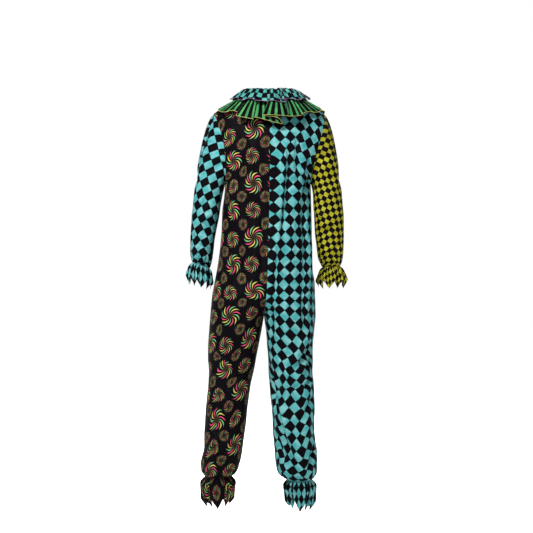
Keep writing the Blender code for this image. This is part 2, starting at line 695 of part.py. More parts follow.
def zip_slider_and_pull():
    """The slider near the top of the chain, with the pull hanging from its bridge.

    Both are made in the slider's own axes: X across, Y into the body, Z up along the chain.
    The origin of both is the middle of the pull's bar, on the pull's hinge.
    """
    line, out = centre_front(np.array([SLIDER_STATION, SLIDER_STATION + 0.05]))
    down = unit(line[1] - line[0])
    above = SEAM + CHAIN_THICK + SEAM
    axis_height = above + SLIDER_THICK + BRIDGE_SPACE / 2
    pivot = line[0] + out[0] * axis_height - np.array([0.0, 0.0, HELD_HEIGHT])
    lean = math.atan2(down[1], -down[2])

    plate_middle = BRIDGE_SPACE / 2 + SLIDER_THICK / 2
    plate = box("zip_slider", (SLIDER_WIDTH, SLIDER_THICK, SLIDER_LENGTH), (0, plate_middle, 0), "metal")
    bridge_length = PULL_BAR + 2 * PULL_PLAY + 2 * BRIDGE_BAR
    bridge_height = BRIDGE_SPACE + BRIDGE_BAR + SLIDER_THICK / 2
    bridge_middle = -BRIDGE_SPACE / 2 - BRIDGE_BAR + bridge_height / 2
    bridge = box(
        "bridge", (BRIDGE_WIDTH, bridge_height, bridge_length), (0, bridge_middle, 0), "metal"
    )
    eye = box(
        "bridge_eye", (2 * BRIDGE_WIDTH, BRIDGE_SPACE, PULL_BAR + 2 * PULL_PLAY), (0, 0, 0), "metal"
    )
    combine(plate, bridge, "UNION")
    combine(plate, eye, "DIFFERENCE")

    drop = PULL_LENGTH / 2 - PULL_BAR / 2
    pull = box("zip_pull", (PULL_WIDTH, PULL_THICK, PULL_LENGTH), (0, 0, -drop), "metal")
    slot_middle = -PULL_BAR / 2 - PULL_SLOT_LENGTH / 2
    slot = box(
        "pull_slot", (PULL_SLOT_WIDTH, 2 * PULL_THICK, PULL_SLOT_LENGTH), (0, 0, slot_middle), "metal"
    )
    combine(pull, slot, "DIFFERENCE")
    for obj in (plate, bridge, eye, pull, slot):
        obj.location = pivot
        obj.rotation_euler = (lean, 0.0, 0.0)


def make_materials():
    for name, (colour, roughness, metallic) in MATERIALS.items():
        material = bpy.data.materials.new(name)
        material.use_nodes = True
        surface = material.node_tree.nodes["Principled BSDF"]
        surface.inputs["Base Color"].default_value = (*colour, 1.0)
        surface.inputs["Roughness"].default_value = roughness
        surface.inputs["Metallic"].default_value = metallic


def main():
    for obj in list(bpy.data.objects):
        bpy.data.objects.remove(obj)
    for name in ("clown_costume", "tools"):
        bpy.context.scene.collection.children.link(bpy.data.collections.new(name))
    make_materials()

    panels = {(side, face): body_panel(side, face) for side in (LEFT, RIGHT) for face in (BACK, FRONT)}
    for (side, face), (points, _) in panels.items():
        name = f"{face_name(face)}_{side_name(side)}"
        middle = points.mean(axis=1, keepdims=True) * [1.0, 0.0, 1.0]
        cloth(name, points, middle, BODY_FABRIC[side])

    for side in (LEFT, RIGHT):
        sleeve(side, panels, SLEEVE_FABRIC[side])
        frill(
            f"cuff_frill_{side_name(side)}",
            elastic_of(SLEEVE[side], side),
            CUFF_LENGTHS,
            CUFF_FLARE,
            "cuff",
            CUFF_POINTS,
            SLEEVE_FABRIC[side],
        )
        frill(
            f"ankle_frill_{side_name(side)}",
            elastic_of(LEG[side], side),
            ANKLE_LENGTHS,
            ANKLE_FLARE,
            "ankle",
            ANKLE_POINTS,
            BODY_FABRIC[side],
        )

    edge = neckline(panels)
    lift = CLOTH + 3 * SEAM
    collar_tier(
        "collar_lower_tier",
        edge,
        COLLAR_LOWER,
        LOWER_WAVES,
        LOWER_WAVE,
        lift,
        LOWER_ROWS,
        "green_stripe",
    )
    collar_tier(
        "collar_upper_tier",
        edge,
        COLLAR_UPPER,
        UPPER_WAVES,
        UPPER_WAVE,
        2 * lift,
        UPPER_ROWS,
        "teal_check",
    )
    zip_chain()
    zip_slider_and_pull()


main()
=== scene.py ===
"""The looks of the clown jumpsuit: printed cloth with its folds, frills, edging and zip.

Every shell follows the form of the solid that it replaces, from the same sizes, with finer
folds. Lengths are in metres, and in the tables in millimetres. Heights in the tables are above
the floor, as in the part's source.
"""

import cmath
import math

import bpy
import numpy as np
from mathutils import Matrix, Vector, noise


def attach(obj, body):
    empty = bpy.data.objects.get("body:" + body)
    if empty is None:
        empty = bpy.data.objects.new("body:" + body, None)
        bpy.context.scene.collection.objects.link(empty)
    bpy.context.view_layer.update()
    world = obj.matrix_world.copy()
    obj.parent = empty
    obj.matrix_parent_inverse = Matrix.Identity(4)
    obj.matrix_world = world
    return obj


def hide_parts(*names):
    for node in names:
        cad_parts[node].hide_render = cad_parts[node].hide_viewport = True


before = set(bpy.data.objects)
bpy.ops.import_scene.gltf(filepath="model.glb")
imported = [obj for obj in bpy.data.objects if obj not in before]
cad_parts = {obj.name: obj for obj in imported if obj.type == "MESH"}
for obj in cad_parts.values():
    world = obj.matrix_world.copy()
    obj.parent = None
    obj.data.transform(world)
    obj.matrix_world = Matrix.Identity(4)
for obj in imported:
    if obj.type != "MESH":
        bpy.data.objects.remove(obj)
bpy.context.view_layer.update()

SHELL = 0.0010  # thickness of the shown cloth
SEAM = 0.0003  # gap between two pieces that are sewn together
CLOTH = 0.0016  # thickness of the solids' walls
HELD_HEIGHT = 1.560  # height of the shoulders, and of the origin, above the floor
FLOOR_TO_ORIGIN = [0.0, 0.0, HELD_HEIGHT]
ROUND = 0.90  # power of the cosine and sine in a section: 1 is an ellipse, less is squarer

# These numbers also stand in the tables' columns named side and face.
LEFT, RIGHT = 1, -1
BACK, FRONT = 1, -1
SIDES = {LEFT: "left", RIGHT: "right"}
FACES = {BACK: "back", FRONT: "front"}

# Stations down a body panel.
NECKLINE, SHOULDER, UNDERARM, HIP, CROTCH, ANKLE = range(6)

SHOULDER_HEIGHT = 1.527
UNDERARM_HEIGHT = 1.262
HIP_HEIGHT = 0.885
CROTCH_HEIGHT = 0.760
PARTING_AT_CROTCH, PARTING_AT_HIP = 0.35, 0.50  # how fast the legs part, at both ends
ANKLE_HEIGHT = {LEFT: 0.1577, RIGHT: 0.1463}
CROWDING = 1.35  # above 1, the rows of a leg or sleeve come closer towards the elastic

# The neckline, an oval round the neck.
NECK_HALF_WIDTH = 0.066
NECK_DEPTH = {BACK: 0.065, FRONT: 0.075}
NECK_HEIGHT_SIDE = 1.612
YOKE_SAG = 0.008  # how far the shoulder seam hangs below a straight line
NECK_HEIGHT_MIDDLE = {BACK: 1.600, FRONT: 1.540}

ARMHOLE_DEPTH = {BACK: 0.086, FRONT: 0.076}  # how far the armhole reaches back and forward
ARMHOLE_POWER = 0.80
ARMHOLE_EVEN = 0.2  # 0 gives the armhole round ends, 1 pointed ones

# Columns of the tables that aren't lengths.
PLAIN_COLUMNS = "side face tier share cuff ankle tilt skew turn turn_top turn_end spread kind".split()


def table(text):
    """The rows below a line of names, as one array for each name. Lengths are in millimetres."""
    names, *rows = text.strip().splitlines()
    columns = np.array([row.split() for row in rows], float).T
    return {
        name: column if name in PLAIN_COLUMNS else column / 1000
        for name, column in zip(names.split(), columns)
    }


# Between the armholes: the half-widths that the section would have with no armhole cut from it,
# and how far back and front reach.
CHEST = table("""
    height left right back front
    1262   170 154.5 128 122
    1300   183   174 131 124
    1350   203   205 133 124
    1400 213.6   226 134 121
    1440   219   234 132 115
    1480 222.5   232 124 104
    1505 219.5   219 116  95
    1527 214.5 205.5 106  86
""")

# From the crotch to the underarm: where the centre seam runs, and the two side seams.
TORSO = table("""
    height seam left right back front
     760   23   227   173 132 118
     800   18 223.5 172.2 138 120
     840   14 218.5 171.5 142 122
     885 10.5   211   170 142 122
     940    9   201   161 137 121
    1000    7 192.5   159 129 119
    1080    5 184.5 158.5 122 117
    1160    3 181.5   157 122 118
    1210    2 174.5   156 125 120
    1262    1   170 154.5 128 122
""")

LEG = {
    LEFT: table("""
    height outer inner back front axis
    157.7   247 143.6  56  54 24
      168   254 130.5  71  68 24
    182.4 262.2 121.6  81  78 24
    205.2   263   114  86  82 24
    237.5 256.1   106  86  81 23
      270 249.7 101.5  87  80 22
    311.6 249.7  96.1  90  81 19
    364.8 246.6  88.9  93  84 15
    406.6   244  85.5  93  87 11
    453.7 239.4  79.4  92  90  6
    501.6 234.5  72.6  91  94  2
      555 232.2  60.8  94  97  0
      600 235.6  52.4 100 100  0
      648 234.5  43.3 108 106  0
      696 232.2  33.8 117 112  0
      760   227    23 132 118  0
"""),
    RIGHT: table("""
    height outer inner back front axis
    146.3 159.6  63.8  55  53 24
      158 171.5    42  73  69 24
    174.8 177.8  26.6  83  79 24
    212.8 179.4    19  87  82 24
    255.7 177.8    16  88  81 22
    310.5 170.2  10.6  90  81 19
    364.8   168     8  93  84 15
    405.5 170.6   5.7  93  87 11
    453.7 169.1   0.8  92  90  6
    502.4 166.8  -2.7  91  94  2
      551 161.9  -6.5  94  97  0
      600   163  -7.6 100 100  0
      648   163 -11.4 108 106  0
      696   168 -14.8 117 112  0
      760   173   -23 132 118  0
"""),
}

# The sleeve below the underarm. A tilt above 0 lifts the outer side of the section.
SLEEVE = {
    LEFT: table("""
    height outer inner depth axis tilt
     953.8 297.4 228.8 31 -28 0.325
       969   301   223 42 -25  0.25
       986 303.5   218 49 -21  0.12
      1011   304   214 52 -16  0.04
    1046.5 303.2 210.5 54 -10     0
    1092.5 301.3 202.5 56  -4     0
      1136   298 193.5 58   0     0
      1178   293 187.5 60   3     0
      1214 289.6   181 62   4     0
"""),
    RIGHT: table("""
    height outer inner depth axis tilt
     948.9   269 197.2 31 -28 0.063
       966 274.5   188 43 -25  0.04
       985 277.5 180.5 50 -21  0.02
      1010 279.5 177.5 53 -16     0
    1038.2 280.3 174.4 55 -10     0
      1070 280.8   171 56  -6     0
    1141.1   280   168 58   0     0
      1178 276.7 165.5 60   3     0
      1214 273.2 163.4 62   4     0
"""),
}
SLEEVE_TOP = 1.2140  # the first full section below the armhole
HEAD_REACH_UNDERARM = 0.020  # how strongly the cloth leaves the armhole, under the arm
HEAD_REACH_SHOULDER = 0.130  # and over the shoulder
SMALL_DROP = 0.010  # the sleeve's direction at its top is read over this height

# Folds of the body, as lines seen from behind: a soft ridge with a trough on either side.
FOLDS = table("""
    side x_top top x_end end width depth
    -1  34 1290  16  860 26 9
    -1  66 1480  72 1240 28 8
    -1 112 1450 100 1150 28 7
    -1 132 1110 134  780 28 8
    -1 146 1400 120 1270 24 6
    -1 160  720  50  540 28 9
    -1 150  600  40  460 26 8
    -1  16  640  70  400 26 8
    -1  30  460  96  230 26 7
    -1 150  420 104  210 28 7
     1  60 1440  74 1160 30 7
     1 116 1400 120 1050 30 7
     1  50 1120  62  820 30 7
     1 144 1060 166  780 30 7
     1 205  660 110  530 28 8
     1  96  560 180  430 28 7
     1 215  430 150  260 28 7
     1 126  330 166  210 26 6
""")
FOLD_STRENGTH = {BACK: 1.0, FRONT: 0.8}  # the front has the same folds, a little flatter
FOLD_FADE = 0.25  # share of a fold over which it rises at each end

# Frills below the elastics: how many points the hem has, the lengths at a notch and at a tip, the
# size round the hem when flat, how far the hem stands out sideways, backward and forward, how much
# less that is at each side's hem, and how deep its flutes are.
FRILLS = {
    "cuff": {
        "points": 9, "notch": 0.050, "tip": 0.083, "round": 0.42, "flare": (0.021, 0.021, 0.021),
        "ease": {LEFT: 0.009, RIGHT: 0.003}, "deeper": 1.2,
    },
    "ankle": {
        "points": 10, "notch": 0.078, "tip": 0.112, "round": 0.52, "flare": (0.014, 0.014, 0.026),
        "ease": {LEFT: 0.009, RIGHT: 0.010}, "deeper": 1.9,
    },
}
# How much of the flare is reached from the elastic to the hem.
FRILL_OPENING = table("""
    share cuff ankle
       0    0    0
    0.33 0.46    1
    0.67 0.76 0.85
       1    1 0.55
""")
FRILL_LEAN = 0.25  # how much of an elastic's tilt its frill follows: 0 is straight down
FRILL_WAVE = 0.0045

# The collar: two tiers from the neckline, by their distance out from it and height above it.
COLLAR_LOWER = table("""
    share side_out side_up back_out back_up front_out front_up
       0   0     0   0     0   0     0
    0.25  34 -16.5  31 -12.5  33 -10.5
     0.5  69 -37.5  59 -42.5  62   -36
    0.75 104 -58.5  84   -82  87   -69
       1 138 -77.5 106  -125 109  -106
""")
COLLAR_UPPER = table("""
    share side_out side_up back_out back_up front_out front_up
       0  0   0  0   0  0   0
    0.34 30   6 28  13 28  13
    0.67 58 -14 58 -12 58  -8
       1 81 -40 83 -50 84 -45
""")
TIER_LIFT = CLOTH + 3 * SEAM  # from the panels to the lower tier, and from it to the upper one
# wave is the height of the waves at the hem, and sag how far a tier hangs in between its edges.
TIERS = {
    "lower": {
        "number": 0, "profile": COLLAR_LOWER, "waves": 12, "wave": {"side": 0.0050, "ends": 0.0160},
        "lift": TIER_LIFT, "sag": 0.0, "slot": "green_stripe", "flat": (1.00, 0.160),
        "edging": ("edging_gold", (0.150, 0.140, 0.016)),
    },
    "upper": {
        "number": 1, "profile": COLLAR_UPPER, "waves": 13, "wave": {"side": 0.0050, "ends": 0.0085},
        "lift": 2 * TIER_LIFT, "sag": 0.008, "slot": "teal_check", "flat": (0.86, 0.105),
        "edging": ("edging_purple", (0.085, 0.022, 0.085)),
    },
}
EDGING_RADIUS = 0.0009
FRONT_CALM = 0.04  # share of a tier's length over which its folds begin at the front
FRONT_GAP = 0.0056  # half the gap between the ends of a tier, at the neckline

# The zip down the centre front.
ZIP_TOP, ZIP_BOTTOM = 0.33, 0.980  # a station of the panel, and a height
CHAIN_WIDTH, CHAIN_THICK = 0.0055, 0.0016
TOOTH_PITCH, TOOTH_LENGTH = 0.0011, 0.0008
TOOTH_OVERLAP = 0.0009  # how far a tooth reaches past the centre line
BAR_FACES = [(0, 1, 2, 3), (7, 6, 5, 4), (0, 4, 5, 1), (1, 5, 6, 2), (2, 6, 7, 3), (3, 7, 4, 0)]

BODY_FABRIC = {LEFT: "pinwheel_print", RIGHT: "teal_diamond"}
SLEEVE_FABRIC = {LEFT: "teal_diamond", RIGHT: "yellow_diamond"}


def rows_of(rows, **wanted):
    """Each row of a table that has the wanted values, as a dictionary."""
    for values in zip(*rows.values()):
        row = dict(zip(rows, values))
        if all(row[name] == value for name, value in wanted.items()):
            yield row


def hermite(u, start, end, leave, arrive):
    """A cubic curve from start to end, with its slopes there."""
    return (
        start * (1 + 2 * u) * (1 - u) ** 2
        + end * u * u * (3 - 2 * u)
        + leave * u * (1 - u) ** 2
        - arrive * u * u * (1 - u)
    )


def smooth(xs, ys, at):
    """A curve through the points that never overshoots them; xs rise."""
    step = np.diff(xs)
    rise = np.diff(ys) / step
    before, after = rise[:-1], rise[1:]
    same_way = before * after > 0
    mean = 2 * before * after / np.where(same_way, before + after, 1.0)
    slope = np.concatenate([rise[:1], np.where(same_way, mean, 0.0), rise[-1:]])
    at = np.clip(at, xs[0], xs[-1])
    i = np.clip(np.searchsorted(xs, at) - 1, 0, len(xs) - 2)
    u = (at - xs[i]) / step[i]
    return hermite(u, ys[i], ys[i + 1], step[i] * slope[i], step[i] * slope[i + 1])


def read(rows, column, height):
    return smooth(rows["height"], rows[column], height)


def ease(share):
    """From 0 to 1 with level ends."""
    share = np.clip(share, 0.0, 1.0)
    return share * share * (3 - 2 * share)


def power(value, exponent=ROUND):
    return np.sign(value) * np.abs(value) ** exponent


def oval(centre, half_width, axis, depth, side, face, angle, height):
    """Points of a rounded section: angle 0 is its outer side and a right angle its back or front."""
    x = centre + side * half_width * power(np.cos(angle))
    y = axis + face * depth * power(np.sin(angle))
    return np.stack([x, y, np.broadcast_to(height, x.shape)], axis=-1)


def angles(first, last, t):
    """t is 0 at the centre seam or inseam, and 1 at the side seam or armhole."""
    return last + (first - last) * (1 - t)


def yoke_row(side, face, station, t):
    """Over the shoulder: from the section at the shoulder's height to the neckline."""
    low = armhole_row(side, face, SHOULDER, t)
    angle = angles(math.pi / 2, 0.0, t)
    middle = NECK_HEIGHT_MIDDLE[face]
    height = NECK_HEIGHT_SIDE + (middle - NECK_HEIGHT_SIDE) * np.sin(angle) ** 2
    neck = oval(0.0, NECK_HALF_WIDTH, 0.0, NECK_DEPTH[face], side, face, angle, height)
    share = SHOULDER - station
    row = low + (neck - low) * share
    row[..., 2] -= 4 * YOKE_SAG * share * (1 - share) * t**2
    return row


def armhole_row(side, face, station, t):
    """Between the armholes. The row ends where the armhole's edge cuts the section off.

    The rows are evenly spaced at the centre seam, and close together at both ends of the armhole.
    """
    share = UNDERARM - station
    rounded = (1 - math.cos(math.pi * share)) / 2
    edge_share = ARMHOLE_EVEN * share + (1 - ARMHOLE_EVEN) * rounded
    rise = SHOULDER_HEIGHT - UNDERARM_HEIGHT
    height = UNDERARM_HEIGHT + rise * (share + (edge_share - share) * t)
    depth_at_edge = read(CHEST, FACES[face], UNDERARM_HEIGHT + rise * edge_share)
    reach = ARMHOLE_DEPTH[face] * max(0.0, math.sin(math.pi * share)) ** ARMHOLE_POWER
    last = math.asin((reach / depth_at_edge) ** (1 / ROUND))
    seam = read(TORSO, "seam", height)
    half_width = read(CHEST, SIDES[side], height) - side * seam
    depth = read(CHEST, FACES[face], height)
    return oval(seam, half_width, 0.0, depth, side, face, angles(math.pi / 2, last, t), height)


def torso_section(side, face, height):
    """The torso's centre seam, and how far it reaches from there to the side and to the back."""
    seam = read(TORSO, "seam", height)
    return seam, read(TORSO, SIDES[side], height) - side * seam, read(TORSO, FACES[face], height)


def torso_row(side, face, station, t):
    height = UNDERARM_HEIGHT + (HIP_HEIGHT - UNDERARM_HEIGHT) * (station - UNDERARM)
    seam, half_width, depth = torso_section(side, face, height)
    return oval(seam, half_width, 0.0, depth, side, face, angles(math.pi / 2, 0.0, t), height)


def parting(share):
    """How far the oval has parted into two, from 1 at the crotch to 0 at the hip."""
    return 1 - hermite(share, 0.0, 1.0, PARTING_AT_CROTCH, PARTING_AT_HIP)


def seat_row(side, face, station, t):
    """From the hip to the crotch, one oval parts into two that touch at the crotch.

    The rows are evenly spaced at the side seam, and closer to the crotch at the centre seam.
    """
    share = CROTCH - station
    seam_share = 1 - math.cos(math.pi / 2 * share)
    share = share + (seam_share - share) * (1 - t) ** 2
    height = CROTCH_HEIGHT + (HIP_HEIGHT - CROTCH_HEIGHT) * share
    seam, reach, depth = torso_section(side, face, height)
    parted = parting(share)
    half_width = reach / (1 + parted)
    centre = seam + side * parted * half_width
    first = math.acos(-(parting(seam_share) ** (1 / ROUND)))
    return oval(centre, half_width, 0.0, depth, side, face, angles(first, 0.0, t), height)


def leg_height(side, station):
    share = 1 - (1 - (station - CROTCH)) ** CROWDING
    return CROTCH_HEIGHT + (ANKLE_HEIGHT[side] - CROTCH_HEIGHT) * share


def leg_row(side, face, station, t):
    height = leg_height(side, station)
    names = ("outer", "inner", FACES[face], "axis")
    outer, inner, depth, axis = (read(LEG[side], name, height) for name in names)
    centre, half_width = side * (outer + inner) / 2, (outer - inner) / 2
    return oval(centre, half_width, axis, depth, side, face, angles(math.pi, 0.0, t), height)


def body_row(side, face, station, t):
    """A row of the body's cloth before its folds, in heights above the floor."""
    upper_rows = {SHOULDER: yoke_row, UNDERARM: armhole_row, HIP: torso_row, CROTCH: seat_row}
    for end, row in upper_rows.items():
        if station < end:
            return row(side, face, station, t)
    return leg_row(side, face, min(station, float(ANKLE)), t)


def body_grid(side, face, stations, ts):
    return np.array([body_row(side, face, s, ts) for s in stations])


def unit(vectors):
    return vectors / np.linalg.norm(vectors, axis=-1, keepdims=True)


def body_normals(side, face, stations, ts):
    """Outward directions of the cloth, from small steps along and across it."""
    small = 1e-3
    low, high = np.clip(ts - small, 0, 1), np.clip(ts + small, 0, 1)
    across = body_grid(side, face, stations, high) - body_grid(side, face, stations, low)
    above = np.clip(stations - small, NECKLINE, ANKLE)
    below = np.clip(stations + small, NECKLINE, ANKLE)
    along = body_grid(side, face, below, ts) - body_grid(side, face, above, ts)
    normals = unit(np.cross(across, along))
    return normals * side * face


def from_line(side, line, points):
    """The share of the way along a fold's line, the distance beside it, and the way beside it."""
    top = np.array([side * line["x_top"], line["top"]])
    way = np.array([side * line["x_end"], line["end"]]) - top
    length = np.linalg.norm(way)
    beside = np.array([way[1], -way[0]]) / length
    away = points[..., ::2] - top
    return away @ way / length**2, away @ beside, beside


def faded(share, reach):
    """1 along a fold, falling to 0 at both ends."""
    return ease(share / reach) * ease((1 - share) / reach)


def fold_height(side, points):
    """How far each fold lifts the cloth off its plain form, at points seen from behind."""
    lift = np.zeros(points.shape[:-1])
    for fold in rows_of(FOLDS, side=side):
        share, off, _ = from_line(side, fold, points)
        across = (off / fold["width"]) ** 2
        lift += fold["depth"] * faded(share, FOLD_FADE) * (1 - across) * np.exp(-across)
    return lift


def grid_normals(points, around):
    """Directions out of a grid of points, from its neighbours."""
    down = np.gradient(points, axis=0)
    if around:
        across = np.roll(points, -1, axis=1) - np.roll(points, 1, axis=1)
    else:
        across = np.gradient(points, axis=1)
    return unit(np.cross(across, down))


def sleeve_section(side, height, turn):
    """The sleeve's section: turn 0 is its inner side, a quarter turn its back."""
    names = ("outer", "inner", "depth", "axis", "tilt")
    outer, inner, depth, axis, tilt = (read(SLEEVE[side], name, height) for name in names)
    out = -(outer - inner) / 2 * power(np.cos(turn))
    x = side * ((outer + inner) / 2 + out)
    y = axis + depth * power(np.sin(turn))
    return np.stack([x, y, height + tilt * out], axis=-1)


def elastic_of(rows, side):
    """The centre, directions and half sizes of the section at the end of a sleeve or leg."""
    end = {name: values[0] for name, values in rows.items()}
    tilt = end.get("tilt", 0.0)
    centre = np.array([side * (end["outer"] + end["inner"]) / 2, end["axis"], end["height"]])
    outward = unit(np.array([side, 0.0, tilt]))
    down = unit(np.array([side * tilt * FRILL_LEAN, 0.0, -1.0]))
    half_width = (end["outer"] - end["inner"]) / 2 * math.hypot(1, tilt)
    return centre, outward, down, half_width, end.get("depth", end.get("back"))


# Rows of a fine panel in each of its zones, and columns from the centre seam to the side seam.
FINE_ROWS = (10, 60, 84, 34, 132)
FINE_COLUMNS = 84
EDGE_CROWDING = 0.7  # from 0 to 1: how much closer the columns are at the seams
FINE_HEAD, FINE_SLEEVE = 40, 104  # rows of the sleeve above and below its first full section
LINE_ROWS, TAPE_ROWS = 600, 220  # places that the zip's line and its tape are worked out at

SEAM_DIP = 0.0011  # a sewn edge lies this much lower than the cloth beside it
SEAM_REACH = 0.0045
SEWN = 0.00005  # sewn edges press this far into each other
CREASE_CALM = 0.022  # folds grow over this distance from a seam

CREASE_FADE = 0.35  # share of a crease over which it rises at each end
CREASE_FLANK = 0.6  # above 0, the cloth beside a crease bends the other way

# Creases of the back and of the front, seen from behind: a soft ridge, or a trough if the depth
# is below 0. bow is how far the middle of the line stands off the straight one, and skew makes
# one flank steeper than the other.
CREASES = {}
CREASES[BACK] = table("""
    side x_top top x_end end bow width depth skew
    -1  68 1445  34 1000   6 10.1 -11.2  0.6
    -1  36 1060  20  790  -4  9.5 -10.6 -0.5
    -1  48 1420  54 1130   4 13.4   6.6    0
    -1 100 1450 106 1230  -5 10.1  -7.9  0.5
    -1 122 1250 123  850   6 10.1 -11.2 -0.6
    -1 128  920 131  690  -4 10.1 -11.9 -0.6
    -1 146 1080 142  880   4 11.2   5.9    0
    -1 154 1310 104 1190   8    9  -7.3  0.4
    -1 146 1370 116 1270   6    9  -5.9  0.4
    -1  80 1200  78  930   6 13.4   4.6    0
    -1  12  870   8  640  -4 11.2  -7.9  0.4
    -1  60  860  64  700   4 14.6     4    0
    -1 172  745  88  560  10 10.1 -14.5  0.8
    -1 173  665 112  540   8    9 -11.2  0.6
    -1 150  720  96  610  -6 12.3   5.9    0
    -1   2  600  62  310 -10  8.4 -14.5 -0.8
    -1  -2  540  34  440  -6  7.8  -9.2 -0.6
    -1  20  480  40  330  -4 11.2   5.9    0
    -1  26  610  70  500   6 11.2   5.9    0
    -1 170  575 118  480   6  8.4 -11.9  0.7
    -1 168  480 118  400   6 10.1  -8.6  0.5
    -1  48  566 118  530  -8    9   7.3    0
    -1  38  505 108  502  -8  7.8  -7.9 -0.4
    -1  30  410 120  178 -10 10.1 -13.2 -0.7
    -1  22  340  78  196  -6    9  -9.9 -0.5
    -1  60  420 120  270   6 13.4   5.3    0
    -1 170  300 128  180   6    9 -11.2  0.7
    -1 156  240 100  178   6 11.2   5.9    0
     1  36 1420  44 1180   6 12.3   5.3    0
     1  82 1440  94 1230  -6 11.2  -6.6  0.5
     1 156 1320 112 1200   8 10.1  -6.6  0.4
     1 164 1262 126 1110   8 11.2   5.3    0
     1  34 1180  32  920   6 12.3  -7.3 -0.4
     1  92 1150 112  880  -8 13.4  -7.3  0.5
     1 150 1090 156  820   6 11.2  -7.9 -0.5
     1 176 1030 164  880   6 12.3   4.6    0
     1  40  860 134  790 -12 12.3  -5.9  0.3
     1  34  790 112  690 -12 11.2   5.3    0
     1 190  820 196  640   6 11.2  -7.3 -0.4
     1  60  700 132  600 -12 11.2  -6.6  0.4
     1 224  630 130  530  12 10.1  -9.2  0.5
     1 226  560 160  490  10 11.2   5.9    0
     1  72  570 168  470 -12 10.1  -8.6 -0.5
     1 232  510 140  430  10 10.1  -8.6  0.5
     1  94  440 158  320 -10 11.2  -7.3 -0.4
     1 238  350 184  220  10 10.1  -8.6  0.5
     1 116  320 170  200 -10 10.1  -7.9 -0.4
""")
CREASES[FRONT] = table("""
    side x_top top x_end end bow width depth skew
    -1  46 1420  40 1160   6 12.3 -7.9  0.4
    -1 112 1390  98 1170  -6 12.3 -7.3 -0.4
    -1 152 1310 104 1200  10 10.1 -7.9  0.4
    -1  74 1250  70  990   6 13.4  5.3    0
    -1  26 1130  36  880   6 11.2 -8.6  0.5
    -1 112 1090  98  860   8 12.3 -8.6 -0.5
    -1  12  840 104  790 -10 11.2 -8.6  0.4
    -1   4  780  84  690 -12 11.2  6.6    0
    -1   0  730  54  610 -10 10.1 -9.2 -0.5
    -1 156  640 100  560  10 11.2 -7.9  0.5
    -1 154  570  66  500  10 11.2  5.9    0
    -1  14  470  82  340 -10 11.2 -8.6 -0.5
    -1 162  390 108  230  10 11.2 -9.2  0.5
    -1  24  310  82  190 -10 10.1 -8.6 -0.5
     1  54 1420  50 1180   6 12.3 -7.3  0.4
     1 124 1360 108 1150  -6 12.3 -7.3 -0.4
     1 164 1300 116 1190  10 10.1 -7.9  0.4
     1  86 1230  90  980   6 13.4  5.3    0
     1  40 1110  36  880   6 11.2 -7.9  0.5
     1 124 1070 134  860   8 12.3 -7.9 -0.5
     1  34  840 134  780 -10 11.2 -7.9  0.4
     1  30  770 114  670 -12 11.2  5.9    0
     1 220  600 130  510  10 11.2 -8.6  0.5
     1  86  480 154  350 -10 11.2 -7.9 -0.5
     1 234  360 178  220  10 11.2 -8.6  0.5
""")
# Creases of the sleeves: turn is the share of the way round, 0 at the inner side and 0.25 behind.
SLEEVE_CREASES = table("""
    side turn_top top turn_end end spread depth
     1 0.16 1230  0.4 1140  0.06 -7.8
     1 0.08 1180 0.34 1100  0.06  5.9
     1 0.62 1350  0.4 1230  0.06 -7.2
     1 0.16 1350 0.38 1270 0.065 -7.8
     1 0.34 1130  0.1 1060 0.055 -7.2
     1 0.46 1080  0.2 1010 0.055 -5.9
     1  0.3 1050 0.12  990 0.055  5.2
     1 0.92 1220 0.68 1110  0.06 -7.2
     1 0.84 1140 0.64 1050  0.06 -6.5
     1 0.74 1320  0.6 1220  0.06 -6.5
    -1 0.14 1220 0.38 1130  0.06 -7.8
    -1 0.06 1170 0.32 1090  0.06  5.9
    -1  0.6 1340 0.38 1220  0.06 -7.2
    -1 0.14 1330 0.36 1240 0.065 -7.8
    -1 0.32 1110  0.1 1040 0.055 -7.2
    -1 0.44 1060 0.22  990 0.055 -5.9
    -1 0.28 1030  0.1  980 0.055  5.2
    -1  0.9 1210 0.66 1100  0.06 -7.2
    -1 0.82 1120 0.62 1030  0.06 -6.5
    -1 0.72 1300 0.58 1200  0.06 -6.5
""")
TAKEN_IN = 1.7  # width of the cloth that a crease hides, for its depth
TAKEN_REACH = 0.070  # the print is shifted this far to both sides of it

# Where twisted cloth turns the print, in degrees clockwise seen from outside.
TWISTS = table("""
    face side x height wide tall turn
     1 -1  30  420 30 100  26
     1 -1  50  250 36  75  20
     1 -1 138  600 32  50 -18
     1 -1 130 1360 60  70  12
     1 -1 150  215 35  50 -14
     1  1 205  560 50  80  12
     1  1 120  330 45  90 -11
     1  1 130 1350 60  80  -9
    -1 -1  50  420 40 110 -18
    -1 -1 130  560 50  80  14
    -1  1 190  500 50  90 -13
""")

RUMPLE = 0.0016  # size of the cloth's irregular waves
RUMPLE_ACROSS, RUMPLE_ALONG = 16.0, 6.5  # waves in a metre
SLEEVE_RUMPLE = 0.060  # radius of the ring that the sleeve's waves are read from
BLOUSE_PLEATS, CUFF_PLEATS = 24, 17
BLOUSE_PLEAT, BLOUSE_ZONE = 0.0026, 0.075
BLOUSE_LEAST, BLOUSE_START = 0.45, 0.012  # share of their size at the elastic, and where they are full
HEAD_CALM = 0.35  # share of the sleeve's head over which its folds begin

